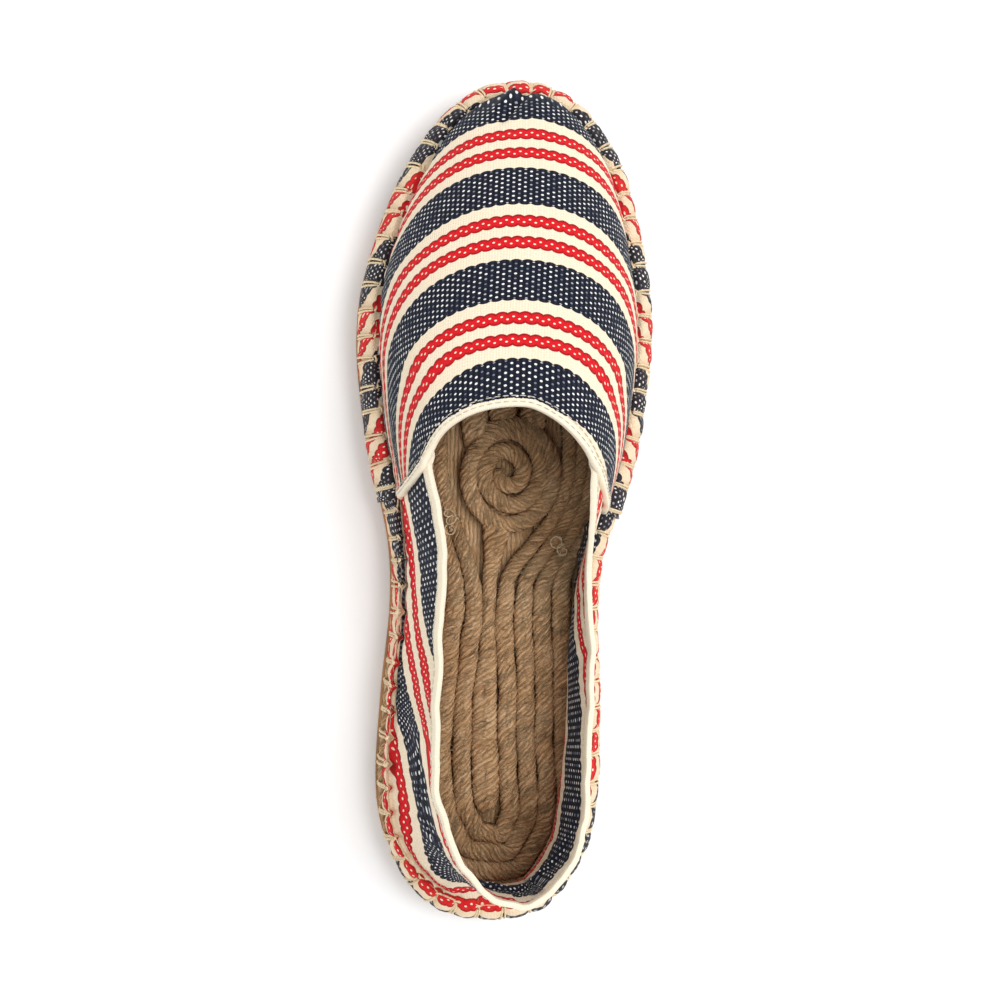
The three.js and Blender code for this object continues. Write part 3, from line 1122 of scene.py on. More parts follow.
    def _lengthen(self, across: Array, along: Array, grid: Array) -> Array:
        """Adds the length that the steep foot of the wall has and the vamp's plan lacks.

        Args:
            across: (rows, columns) length across the vamp.
            along: (rows, columns) length along the vamp.
            grid: (rows, columns, 3) points of the face.

        Returns:
            (rows, columns) lengths across, longer below steep places.
        """
        steps = np.maximum(np.linalg.norm(np.diff(grid, axis=0), axis=2), 0.001)
        known = np.hypot(np.diff(across, axis=0), np.diff(along, axis=0))
        missing = np.maximum(steps - known, 0) * (1 - smoothstep(known / steps, 0.4, 0.75))
        missing[: self.skirt_rows - 1] = 0
        below = np.cumsum(missing[::-1], axis=0)[::-1]
        below = np.concatenate([below, np.zeros((1, grid.shape[1]))])
        return across + np.sign(across) * below

    def _quarter(self) -> tuple[Array, Array]:
        """Quarter and its skirt.

        Returns:
            Its outer face and normals.
        """
        faces = self.faces
        grid, normals, turn, out = faces.quarter_face(self.skirt_rows, self.quarter_rows)
        up = faces.rise_along(grid, self.skirt_rows)
        climb = np.maximum(grid[..., 2] - grid[self.skirt_rows - 1 : self.skirt_rows, :, 2], 0)
        height = climb * 0.75 + up * 0.25
        degrees = np.degrees(turn)
        at, low, high = (np.array(column, float) for column in zip(*self.wall_cloth))
        low, high = SmoothCurve(at, low)(degrees), SmoothCurve(at, high)(degrees)
        wall = low + (high - low) * height / height[-1]
        run = self._run(turn)
        ring_u, ring_v = self._ring(self.ring_cloth, turn, out)
        u = np.where(up > 0, self.lean * run - np.gradient(low, run) * height, ring_u)
        v = np.where(up > 0, wall, ring_v)
        patch = Patch()
        mark = self._stain_and_crease_shade(turn, out, up)
        add_sheet(patch, grid, grid - normals * faces.cloth, np.stack([u, v], axis=-1), mark)
        patch.build("quarter", self.canvas, Slot.CANVAS, "cloth")
        return grid, normals

    def _run(self, turn: Array) -> Array:
        """Length along the crease at rising turns."""
        return arc_along(self.faces.skirt_points(turn, 0 * turn))

    def _ring(self, table: Pairs, turn: Array, out: Array) -> tuple[Array, Array]:
        """Cloth coordinates on the skirt, where a tuck in the crease lets the stripes start anew.

        Args:
            table: degrees of turn and the cloth's height at the middle of the ring.
            turn: (columns,) turns.
            out: (rows, columns) distance out from the crease.

        Returns:
            (rows, columns) coordinates along and across the stripes.
        """
        middle = soften(np.interp(np.degrees(turn), *zip(*table)), 12)
        run = self._run(turn)
        slope = np.gradient(middle, run)
        fall = np.sqrt(np.clip(1 - slope**2, 0.25, 0.9))
        past = out - self.ring_middle
        return self.lean * run + slope * past, middle - fall * past


# --- Sewing ---


@dataclass
class EdgeSewing:
    """Doubled blanket stitches over the skirt, their knots and the thread that runs in the crease."""

    faces: UpperShape
    thread: bpy.types.Material
    radius: float = 0.36
    spread: float = 0.5
    downs: tuple[float, ...] = (-0.2, 0.5, 1.4, 2.6, 4.0, 5.5, 7.0, 8.6, 10.2, 11.8, 13.4, 15.0, 16.4, 17.6)

    def surface(self, turn: Array, down: Array) -> tuple[Array, Array]:
        """Ring's surface and normals where the stitches cross it.

        Args:
            turn: (k,) or (n, k) turns.
            down: (n,) distances out from the crease.

        Returns:
            (n, k, 3) points and normals.
        """
        faces, shape = self.faces, self.faces.shape
        turn = np.broadcast_to(turn, (len(down), turn.shape[-1]))
        kept = np.clip(down, 0, faces.skirt_length)[:, None]
        base = faces.skirt_points(turn, kept)
        above = faces.skirt_points(turn, np.maximum(kept - 0.1, 0))
        rise = unit(above - faces.skirt_points(turn, kept + 0.1))
        normal = unit(np.cross(rise, shape.run_way(turn)))
        height = faces.edge_detail(turn, kept, 0 * turn)
        vamp_span = FULL_TURN + shape.inside_ear - shape.outside_ear
        share = (np.mod(turn, FULL_TURN) - shape.outside_ear) / vamp_span
        near = 1 - smoothstep(np.minimum(share, 1 - share), 0, faces.near_ribs)
        height = height + shape.lap * near * (share > 0) * (share < 1)
        over = np.maximum(0, down - faces.skirt_length)[:, None, None] * UP
        return base + normal * height[..., None] - over, normal

    def build(self) -> None:
        """Makes the stitches, the knots and the running thread."""
        plan, shape = self.faces.stitches, self.faces.shape
        rng = np.random.default_rng(77)
        turn = plan.turn_at(plan.places)
        downs = np.array(self.downs)
        points, normals = self.surface(turn, downs)
        outward = shape.outline_normal(turn)
        seat = np.full(len(downs), self.radius * 0.8)
        seat[0], seat[-1], seat[-2] = -0.7, -1.6, 0.0
        patch = Patch()
        reach = downs / downs[-1]
        pinch = 0.55 + 0.45 * np.sin(np.clip(reach * 1.6, 0, 1) * math.pi / 2)
        for strand in (-1, 1):
            slant = rng.normal(0, 0.45, len(turn))
            gap = self.spread * strand + rng.normal(0, 0.08, len(turn))
            shift = gap[None, :] * pinch[:, None] + slant[None, :] * reach[:, None]
            path, lifts = self.surface(plan.turn_at(plan.places[None, :] + shift), downs)
            paths = np.swapaxes(path + lifts * seat[:, None, None], 0, 1)
            fine = np.stack([soften(line, 2) for line in self._even(paths)])
            ups = np.broadcast_to(outward[:, None, :], (*fine.shape[:2], 2))
            ups = np.concatenate([ups, np.full((*fine.shape[:2], 1), 0.8)], axis=-1)
            add_tubes(patch, fine, ups, np.array(self.radius), 7)
        self._knots(patch, points[1], normals[1], shape.run_way(turn), rng)
        patch.build("blanket_stitches", self.thread, Slot.THREAD, "fibre")
        self._running_thread(points, normals, rng)

    @staticmethod
    def _even(paths: Array) -> Array:
        """Lines laid out again at even steps, all with 20 points.

        Args:
            paths: the lines.

        Returns:
            The even lines.
        """
        made = []
        for line in paths:
            arc = arc_along(line)
            at = np.linspace(0, arc[-1], 20)
            made.append(np.stack([np.interp(at, arc, column) for column in line.T], axis=1))
        return np.stack(made)

    def _knots(self, patch: Patch, points: Array, ups: Array, sides: Array, rng: np.random.Generator) -> None:
        """Adds a small twisted loop of thread where each stitch comes out of the crease.

        Args:
            patch: where they go.
            points: (k, 3) where the stitches come out.
            ups: (k, 3) normals there.
            sides: (k, 3) directions along the crease.
            rng: draws their tilts and sizes.
        """
        angle = np.linspace(0, 1.6 * math.pi, 11)
        for point, up, side in zip(points, ups, sides):
            middle = point + up * (0.15 + rng.uniform(-0.1, 0.25))
            forward = np.cross(side, up)
            tilt = rng.uniform(-0.7, 0.7)
            first = side * math.cos(tilt) + forward * math.sin(tilt)
            size = rng.uniform(0.6, 0.95)
            loop = middle + size * (np.cos(angle)[:, None] * first + np.sin(angle)[:, None] * up * 0.75)
            loop = loop + (angle / angle[-1] - 0.5)[:, None] * forward * 0.9
            add_tubes(patch, loop[None], forward[None, None], np.array(self.radius * 0.85), 6)

    def _running_thread(self, points: Array, normals: Array, rng: np.random.Generator) -> None:
        """Thread that runs from stitch to stitch along the crease.

        Args:
            points: the stitches' points.
            normals: the normals there.
            rng: draws its slack.
        """
        patch = Patch()
        base = points[1] + normals[1] * 0.55
        following = np.roll(base, -1, axis=0)
        share = np.linspace(0, 1, 9)[None, :, None]
        paths = base[:, None] * (1 - share) + following[:, None] * share
        bow = np.sin(share * math.pi) * rng.uniform(-0.2, 0.35, (len(base), 1, 1))
        paths = paths + bow * normals[1][:, None]
        add_tubes(patch, paths, UP, np.array(self.radius * 0.85), 6)
        patch.build("crease_thread", self.thread, Slot.THREAD, "fibre")


@dataclass
class EdgeTape:
    """Folded tape sewn over an edge of the upper, with its rows of stitches."""

    name: str
    line: Array
    normals: Array
    tape: bpy.types.Material
    thread: bpy.types.Material
    beyond: float
    lap: float
    inner_lap: float
    cloth: float
    rows: tuple[float, ...]
    thickness: float = 0.38
    step: float = 0.7
    seed: int = 3
    stitch: float = 2.3
    sink: float = 0.0
    sink_reach: float = 4.5
    thread_radius: float = 0.17

    def build(self) -> None:
        """Makes the tape and its stitches."""
        both = resample(np.concatenate([self.line, self.normals], axis=1), self.step)
        both = soften(both, 4)
        line, normal = both[:, :3], unit(both[:, 3:])
        arc = arc_along(line)
        ends = np.minimum(arc, arc[-1] - arc)
        line = line - normal * (self.sink * (1 - smoothstep(ends, 0, self.sink_reach)))[:, None]
        tangent = unit(np.gradient(line, axis=0))
        normal = unit(normal - tangent * np.sum(normal * tangent, axis=1, keepdims=True))
        inward = unit(np.cross(normal, tangent))
        section = self._section()
        down, out = section[:, 0][None, :], section[:, 1][None, :]
        wobble = 0.14 * ripple(arc, self.seed, 9.0) + 0.1 * np.sin(FULL_TURN * arc / 1.25)
        down = down + wobble[:, None] * np.clip(down / self.lap, 0, 1)
        out = out + 0.1 * ripple(arc, self.seed + 1, 13.0)[:, None]
        shrink = np.clip(ends / 0.6, 0.15, 1)[:, None]
        down, out = down * shrink, out * shrink
        grid = line[:, None] + inward[:, None] * down[..., None] + normal[:, None] * out[..., None]
        around = arc_along(np.concatenate([section, section[:1]]))[:-1]
        uv = np.stack(np.broadcast_arrays(around[None, :], arc[:, None]), axis=-1)
        patch = Patch()
        patch.add_grid(grid[:, ::-1], uv[:, ::-1], wrap=True)
        patch.build(self.name, self.tape, Slot.TAPE, "cloth")
        self._stitches(line, inward, normal, arc)

    def _section(self) -> Array:
        """Closed section of the folded tape: distance down from the edge, and out from the cloth's face.

        Returns:
            The section's points.
        """
        thick, back, edge, lap, inner = self.thickness, -self.cloth, -self.beyond, self.lap, self.inner_lap
        outside = [(lap, 0.06), (lap, thick * 0.8), (lap - 0.25, thick), (lap * 0.5, thick * 1.12)]
        outside += [(0.1, thick * 1.05), (0.1 + edge * 0.35, thick * 0.9)]
        fold = [(edge * 0.75, thick * 0.8), (edge * 0.95, thick * 0.3), (edge, back * 0.5)]
        fold += [(edge * 0.95, back - thick * 0.3), (edge * 0.75, back - thick * 0.8)]
        inside = [(0.0, back - thick), (inner * 0.5, back - thick * 1.1), (inner - 0.25, back - thick)]
        inside += [(inner, back - thick * 0.8), (inner, back - 0.05)]
        return np.array([*outside, *fold, *inside, (min(lap, inner) * 0.5, back * 0.5)])

    def _stitches(self, line: Array, inward: Array, normal: Array, arc: Array) -> None:
        """Rows of short machine stitches.

        Args:
            line: the edge.
            inward: directions down from it.
            normal: directions out of the cloth.
            arc: lengths along it.
        """
        patch = Patch()
        share = np.linspace(0, 1, 6)
        for row in self.rows:
            starts = np.arange(1.5, arc[-1] - 3, self.stitch)
            at = starts[:, None] + share[None, :] * self.stitch * 0.74
            base, down, out = (self._pick(values, arc, at) for values in (line, inward, normal))
            level = self.thickness if row < self.lap else 0.0
            height = level + 0.1 * np.sin(share * math.pi)[None, :, None]
            paths = base + down * row + out * (height + 0.06)
            add_tubes(patch, paths, out, np.array(self.thread_radius), 5)
        patch.build(f"{self.name}_stitches", self.thread, Slot.THREAD, "fibre")

    @staticmethod
    def _pick(values: Array, arc: Array, at: Array) -> Array:
        """Values of a line at some distances along it."""
        return np.stack([np.interp(at, arc, column) for column in values.T], axis=-1)


# --- Sole ---


@dataclass
class RopePath:
    """Centre line of a rope, with its half width at each point."""

    line: Array
    half_width: Array


@dataclass
class JuteFootbed:
    """Twisted jute rope laid in loops round the sole, with a round coil under the throat."""

    shape: LastShape
    jute: bpy.types.Material
    fluff: bpy.types.Material
    insets: tuple[float, ...] = (10.7, 16.6, 22.5, 28.4)
    radius: float = 3.0
    proud: float = 1.1
    shift: float = 2.2
    strands: int = 6
    lay: float = 15.0
    step: float = 0.8
    coil_x: float = -2.2
    coil_y: float = -8.5
    coil_stretch: float = 1.13
    coil_radius: float = 13.0
    coil_start: float = 2.6
    core: float = 8.6
    flow: float = 34.0
    heel_middle: float = 97.0
    toe_middle: float = -82.0
    hairs: int = 4400
    hair_radius: float = 0.085

    def build(self) -> None:
        """Makes the ropes and their loose hairs."""
        patch = Patch()
        seeds: list[Array] = []
        for number, rope in enumerate([*self._loops(), *self._middle(), self._coil()]):
            seeds.append(self._add_rope(patch, rope, number))
        made = patch.build("jute_footbed", self.jute, Slot.JUTE, "fibre")
        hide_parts("jute_sole")
        self._hairs(np.concatenate(seeds))

    def _bed(self, y: Array) -> Array:
        """Height of the ropes' centre lines."""
        return self.shape.jute_top + self.proud - self.radius + self.shape.lift(y)

    def _round_coil(self, plan: Array) -> tuple[Array, Array, Array]:
        """Leads a line round the coil.

        Args:
            plan: (n, 2) line seen from above.

        Returns:
            The moved line, how much each point is squeezed, and which points are clear of the coil.
        """
        stretch = np.array([1.0, self.coil_stretch])
        away = (plan - np.array([self.coil_x, self.coil_y])) / stretch
        distance = np.linalg.norm(away, axis=1)
        rim = self.coil_radius + self.radius + 1.6
        squeeze = (self.flow - rim) / (self.flow - self.core)
        moved = np.where(distance < self.flow, rim + (distance - self.core) * squeeze, distance)
        line = np.array([self.coil_x, self.coil_y]) + away / distance[:, None] * moved[:, None] * stretch
        part = 1 - smoothstep(distance, self.flow - 8, self.flow + 4)
        return line, 1 - 0.6 * (1 - squeeze) * part, distance > self.core + 0.8

    def _loops(self) -> list[RopePath]:
        """Loops that follow the outline, led round the coil.

        Returns:
            Their paths.
        """
        ropes = []
        for number, inset in enumerate(self.insets):
            plan = self._inset_line(inset)
            plan[:, 0] += self._shift_at(plan[:, 1])
            plan = resample(plan, self.step)
            arc = arc_along(plan)
            plan[:, 0] += 0.38 * ripple(arc, 60 + number, 41.0) + 0.22 * ripple(arc, 70 + number, 17.0)
            line, squeeze, clear = self._round_coil(plan)
            width = self.radius * 1.04 * squeeze * (1 + 0.05 * ripple(arc, 80 + number, 26.0))
            cuts = np.flatnonzero(np.diff(clear.astype(int)))
            for part in np.split(np.arange(len(line)), cuts + 1):
                if len(part) > 12 and clear[part[0]]:
                    ropes.append(self._path(line[part], width[part]))
        return ropes

    def _shift_at(self, y: Array) -> Array:
        """How far the straight ropes lie towards the outside at a station y."""
        return self.shift * (smoothstep(y, -5, 25) * (1 - smoothstep(y, 70, 105)))

    def _inset_line(self, inset: float) -> Array:
        """Outline moved in: towards a middle at the heel and at the toe, straight across between them.

        Args:
            inset: distance in.

        Returns:
            The line from the toe round to the toe.
        """
        turn = np.linspace(math.pi, math.pi + FULL_TURN, 1441)
        rim = self.shape.outline_point(turn, 0.0)
        heel, toe = self.heel_middle, self.toe_middle
        station = np.clip(rim[:, 1], toe, heel)
        outside, inside = self.shape.rim_x(station)
        inward = np.stack([(outside + inside) / 2, station], axis=1) - rim
        return rim + unit(inward) * inset

    def _middle(self) -> list[RopePath]:
        """Ropes between the innermost loop's two runs, that run on under the coil.

        Returns:
            Their paths.
        """
        reach = self.coil_radius - 7.0
        behind = np.arange(self.coil_y + reach, 99, self.step)
        ahead = np.arange(-70, self.coil_y - reach, self.step)
        ropes = []
        for y, lanes in ((behind, (0.0,)), (ahead, (-0.66, 0.0, 0.66))):
            outside, inside = self.shape.rim_x(y)
            gap = (outside - inside) / 2 - self.insets[-1] - self.radius * 0.9
            gap = gap * np.sqrt(np.clip((100.5 - y) / 8, 0.05, 1))
            for lane in lanes:
                x = self._shift_at(y) + lane * gap + 0.35 * ripple(y, 91 + int(9 * lane), 33.0)
                ropes.append(self._path(np.stack([x, y], axis=1), np.clip(gap / len(lanes), 0.8, 4.6)))
        return ropes

    def _coil(self) -> RopePath:
        """Round coil, from its outer turn to its middle.

        Returns:
            Its path.
        """
        angle = np.linspace(0, 3.6 * FULL_TURN, 840)
        laps = np.maximum(0, angle / FULL_TURN - 0.7)
        radius = self.coil_radius + 0.9 - 2 * self.radius * 0.9 * laps + 0.5 * ripple(angle * 8, 97, 40.0)
        keep = radius > 0.9
        angle, radius = angle[keep] - self.coil_start, radius[keep]
        x = self.coil_x - radius * np.cos(angle)
        y = self.coil_y + self.coil_stretch * radius * np.sin(angle)
        plan = resample(np.stack([x, y], axis=1), self.step)
        return self._path(plan, np.full(len(plan), self.radius * 0.97), over=True)

    def _path(self, plan: Array, width: Array, over: bool = False) -> RopePath:
        """Lifts a line to the footbed, with its ends led down.

        Args:
            plan: (n, 2) line seen from above.
            width: half widths along it.
            over: it lies over the other ropes; any other dips under the coil.

        Returns:
            The rope's path.
        """
        arc = arc_along(plan)
        ends = np.minimum(arc, arc[-1] - arc)
        z = self._bed(plan[:, 1]) + 0.22 * ripple(arc, int(abs(plan[0, 0]) * 7) + 3, 29.0)
        if over:
            z = z + 0.25 - 3.0 * (1 - smoothstep(arc, 0, 11.0))
        else:
            away = np.linalg.norm(plan - np.array([self.coil_x, self.coil_y]), axis=1)
            under = 1 - smoothstep(away, self.coil_radius - 1.0, self.coil_radius + self.radius + 2.0)
            z = z - 1.8 * (1 - smoothstep(ends, 0, 4.0)) - 2.6 * under
        return RopePath(np.concatenate([plan, z[:, None]], axis=1), width)

    def _add_rope(self, patch: Patch, rope: RopePath, number: int) -> Array:
        """Adds one rope with its twisted strands.

        Args:
            patch: where it goes.
            rope: centre line and half widths.
            number: picks its waves.

        Returns:
            (k, 6) points on its top with the direction of their strand, for the hairs.
        """
        line = rope.line
        arc = arc_along(line)
        tangent = unit(np.gradient(line, axis=0))
        side = unit(np.cross(tangent, UP))
        up = np.cross(side, tangent)
        top = np.radians(np.linspace(-108, 108, 21))
        under = np.radians(np.linspace(128, 232, 5))
        angle = np.concatenate([top, under])[None, :]
        turn = FULL_TURN * (arc + 1.2 * ripple(arc, 110 + number, 23.0))[:, None] / self.lay + number
        strand = np.abs(np.cos((angle - turn) * self.strands / 2))
        relief = 1 - 0.17 * (1 - strand) ** 1.3
        wide = rope.half_width[:, None] * relief
        tall = self.radius * relief
        ends = np.clip(np.minimum(arc, arc[-1] - arc) / 2.5, 0.15, 1)[:, None]
        aside = side[:, None] * (wide * ends * self._boxy(np.sin(angle), 0.8))[..., None]
        above = up[:, None] * (tall * ends * self._boxy(np.cos(angle), 0.72))[..., None]
        grid = line[:, None] + aside + above
        pull = FULL_TURN * self.radius / self.lay
        size = math.hypot(1, pull)
        flat = angle * self.radius + 40.0 * number
        run = np.broadcast_to(arc[:, None], relief.shape)
        uv = np.stack([(flat - pull * run) / size, (pull * flat + run) / size], axis=-1)
        wrapped = np.abs((angle + math.pi) % FULL_TURN - math.pi)
        # painted shade between the strands and on the sides and underside of the rope
        mark = 0.6 * (1 - strand) ** 1.5 + smoothstep(wrapped, 1.0, 1.55)
        patch.add_grid(grid[:, ::-1], uv[:, ::-1], np.clip(mark, 0, 1)[:, ::-1], wrap=True)
        strand_way = unit(tangent + side * pull)
        return np.concatenate([line + up * self.radius * 0.98, strand_way], axis=1)

    @staticmethod
    def _boxy(share: Array, power: float) -> Array:
        """Side of a flattened circle."""
        return np.sign(share) * np.abs(share) ** power

    def _hairs(self, seeds: Array) -> None:
        """Loose fibres that stand off the ropes.

        Args:
            seeds: places on the ropes and directions there.
        """
        rng = np.random.default_rng(23)
        seen = seeds[seeds[:, 1] > -40]
        pick = seen[rng.integers(0, len(seen), self.hairs)]
        start, way = pick[:, :3], pick[:, 3:]
        across = np.cross(way, UP)
        place = rng.uniform(-1, 1, (self.hairs, 1))
        start = start + across * place * 2.3 - UP * (place**2) * 0.9
        turn = rng.normal(0, 0.5, (self.hairs, 1))
        way = unit(way * np.cos(turn) + across * np.sin(turn))
        length = rng.uniform(2.5, 9.5, (self.hairs, 1, 1)) * rng.uniform(0.5, 1, (self.hairs, 1, 1))
        share = np.linspace(-0.5, 0.5, 6)[None, :, None]
        lift = rng.uniform(0.1, 0.75, (self.hairs, 1, 1))
        curl = rng.normal(0, 0.16, (self.hairs, 1, 1))
        paths = start[:, None] + way[:, None] * share * length
        paths = paths + across[:, None] * curl * length * (share * 2) ** 2
        paths = paths + UP * (lift * (1 - (share * 2) ** 2) - 0.1)
        patch = Patch()
        add_tubes(patch, paths, UP, np.array(self.hair_radius), 3)
        patch.build("jute_hairs", self.fluff, Slot.JUTE, "fibre")


@dataclass
class SoleLayer:
    """Outline-shaped layer of the sole."""

    shape: LastShape
    columns: int = 960

    def loop(self, inset: Array, height: Array) -> tuple[Array, Array]:
        """Loops round the sole.

        Args:
            inset: (rows,) insets.
            height: (rows,) heights before the lift.

        Returns:
            (rows, columns, 3) points and the (columns,) turns.
        """
        turn = np.arange(self.columns) * FULL_TURN / self.columns
        plan = self.shape.outline_point(np.broadcast_to(turn, (len(inset), self.columns)), inset[:, None])
        z = height[:, None] + self.shape.lift(plan[..., 1])
        return np.concatenate([plan, z[..., None]], axis=-1), turn

    def add_cap(self, patch: Patch, loop: Array, facing_up: bool, rungs: int, relief: float = 0.0) -> None:
        """Closes a loop with a ladder of rungs across the shoe.

        Args:
            patch: where it goes.
            loop: (columns, 3) rim.
            facing_up: which way it faces.
            rungs: points across each rung.
            relief: depth of the tread's grooves.
        """
        half = self.columns // 2
        left, right = loop[: half + 1], loop[-np.arange(half + 1)]
        share = np.linspace(0, 1, rungs)[None, :, None]
        grid = left[:, None] * (1 - share) + right[:, None] * share
        if relief:
            across = np.abs(share[..., 0] - 0.5) * 2
            phase = (grid[..., 1] + 9.0 * across) / 5.2
            groove = smoothstep(np.abs(np.sin(math.pi * phase)), 0.0, 0.35)
            rim = smoothstep(np.minimum(share[..., 0], 1 - share[..., 0]), 0.02, 0.1)
            grid[..., 2] += relief * (1 - groove) * rim
        uv = grid[..., :2]
        if facing_up:
            grid, uv = grid[:, ::-1], uv[:, ::-1]
        patch.add_grid(grid, uv)


@dataclass(kw_only=True)
class JuteBraid(SoleLayer):
    """Plaited side of the jute sole: two rows of slanting strands that meet in a chevron."""

    jute: bpy.types.Material
    fluff: bpy.types.Material
    faces: UpperShape
    bottom: float = 3.85
    middle: float = 9.6
    shoulder: float = 15.4
    top: float = 19.2
    strand: float = 4.1
    hairs: int = 500
    hair_radius: float = 0.05
    slope: float = 0.8

    def build(self) -> None:
        """Makes the braid and its hairs."""
        share = np.linspace(0, 1, 34)
        height = self.bottom + (self.top - self.bottom) * share
        lower = np.clip((height - self.bottom) / (self.middle - self.bottom), 0, 1)
        upper = np.clip((height - self.middle) / (self.shoulder - self.middle), 0, 1)
        rows = np.sin(math.pi * lower) ** 0.6, 0.9 * np.sin(math.pi * upper) ** 0.6
        bulge = np.nan_to_num(np.where(height < self.middle, *rows))
        past = np.maximum(0, height - self.shoulder)
        inset = 2.0 + 0.9 * smoothstep(height, 9, 14) - 1.35 * bulge + 0.13 * past**2
        grid, turn = self.loop(inset, height)
        girth = arc_along(np.concatenate([grid[5], grid[5][:1]]))[:-1]
        slant = np.where(height < self.middle, height, 2 * self.middle - height)[:, None]
        phase = (girth[None, :] + 0.75 * slant + 0.5 * ripple(girth, 51, 31.0)[None, :]) / self.strand
        strand = np.abs(np.cos(math.pi * phase))
        yarn = np.abs(np.cos(math.pi * phase * 3))
        outward = self.shape.outline_normal(turn)
        gap = self.faces.heel_gap(turn)[None, :] * smoothstep(height, 8, 14)[:, None]
        fade = np.sin(math.pi * np.clip(share, 0.04, 0.96))[:, None] ** 0.3
        relief = (0.55 * strand**0.7 + 0.1 * yarn - 0.35) * fade + 0.9 * gap
        relief = relief - self.faces.side_draw * np.clip(outward[:, 0], 0, 1)[None, :]
        relief = relief - self.faces.draw_in(turn)[None, :]
        grid[..., :2] += outward[None] * relief[..., None]
        run = np.broadcast_to(girth[None, :], relief.shape)
        uv = np.stack([run + slant * self.slope, (height[:, None] * 1.2 - run * self.slope)], axis=-1)
        patch = Patch()
        # the mark is painted shade between the strands
        patch.add_grid(grid, uv, np.clip((1 - strand) ** 1.4, 0, 1), wrap=True)
        shelf, _ = self.loop(np.array([6.0, 9.0, 10.5]), np.array([19.0, 18.2, 15.5]))
        shelf = np.concatenate([grid[-1:], shelf])
        # the shelf under the skirt gets a strong painted shade
        patch.add_grid(shelf, shelf[..., :2], np.full(shelf.shape[:2], 0.8), wrap=True)
        self.add_cap(patch, shelf[-1], True, 7)
        self.add_cap(patch, grid[0], False, 7)
        patch.build("jute_braid", self.jute, Slot.JUTE, "fibre")
        self._hairs(grid, outward)

    def _hairs(self, grid: Array, outward: Array) -> None:
        """Loose fibres round the side.

        Args:
            grid: side of the sole.
            outward: directions out.
        """
        rng = np.random.default_rng(29)
        row = rng.integers(4, 16, self.hairs)
        column = rng.integers(0, self.columns, self.hairs)
        start = grid[row, column]
        out = np.concatenate([outward[column], np.zeros((self.hairs, 1))], axis=1)
        along = np.stack([-out[:, 1], out[:, 0], 0 * out[:, 0]], axis=1)
        tilt = rng.normal(0, 0.5, (self.hairs, 1))
        way = unit(along + UP * tilt)
        length = rng.uniform(1.5, 5.5, (self.hairs, 1, 1))
        share = np.linspace(-0.5, 0.5, 6)[None, :, None]
        lift = rng.uniform(0.2, 0.9, (self.hairs, 1, 1))
        paths = start[:, None] + way[:, None] * share * length
        paths = paths + out[:, None] * (lift * (1 - (share * 2) ** 2) - 0.1)
        patch = Patch()
        add_tubes(patch, paths, out[:, None], np.array(self.hair_radius), 3)
        patch.build("braid_hairs", self.fluff, Slot.JUTE, "fibre")


@dataclass(kw_only=True)
class RubberOutsole(SoleLayer):
    """Thin rubber sheet under the jute, with a shallow chevron tread."""

    rubber: bpy.types.Material
    # Inset and height of the side's section, from the floor up.
    side: Pairs = ((2.0, 0.0), (1.5, 0.12), (1.05, 0.5), (0.85, 1.2), (0.8, 2.4), (1.0, 3.1), (1.5, 3.5))
    tread: float = 0.45

    def build(self) -> None:
        """Makes the outsole."""
        rows = np.array(self.side)
        grid, _ = self.loop(rows[:, 0], rows[:, 1])
        girth = arc_along(np.concatenate([grid[0], grid[0][:1]]))[:-1]
        uv = np.stack(np.broadcast_arrays(girth[None, :], rows[:, 1][:, None]), axis=-1)
        patch = Patch()
        patch.add_grid(grid, uv, wrap=True)
        self.add_cap(patch, grid[-1], True, 5)
        self.add_cap(patch, grid[0], False, 41, relief=self.tread)
        made = patch.build("rubber_sheet", self.rubber, Slot.RUBBER, "fibre")
        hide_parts("rubber_outsole")


@dataclass
class LooseThreads:
    """Curly thread ends left inside the shoe at the ends of the ear seams."""

    thread: bpy.types.Material
    # Across and along the shoe; size; seed.
    curls: tuple[tuple[float, float, float, int], ...] = (
        (15.8, 5.5, 2.4, 5),
        (15.0, 9.5, 1.7, 6),
        (-18.6, 12.0, 2.2, 7),
        (-19.6, 14.5, 1.5, 8),
    )
    radius: float = 0.18
    floor: float = 21.2

    def build(self) -> None:
        """Makes the curls."""
        patch = Patch()
        for x, y, size, seed in self.curls:
            rng = np.random.default_rng(seed)
            t = np.linspace(0, 1, 70)
            phase = rng.uniform(0, FULL_TURN)
            angle = phase + 1.7 * FULL_TURN * t + 1.5 * np.sin(7 * t + phase)
            reach = size * (0.35 + 0.75 * np.abs(np.sin(math.pi * t * 1.7 + phase)))
            drift = 2.0 * size * (t - 0.5)
            across = x + reach * np.cos(angle) + drift * math.cos(phase)
            along = y + reach * np.sin(angle) + drift * math.sin(phase)
            height = self.floor + 0.9 + 0.8 * np.sin(11 * t + phase)
            line = np.stack([across, along, height], axis=1)
            add_tubes(patch, line[None], np.array([0.1, 0.2, 1.0]), np.array(self.radius), 5)
        patch.build("loose_threads", self.thread, Slot.THREAD, "fibre")


# --- Finishes ---


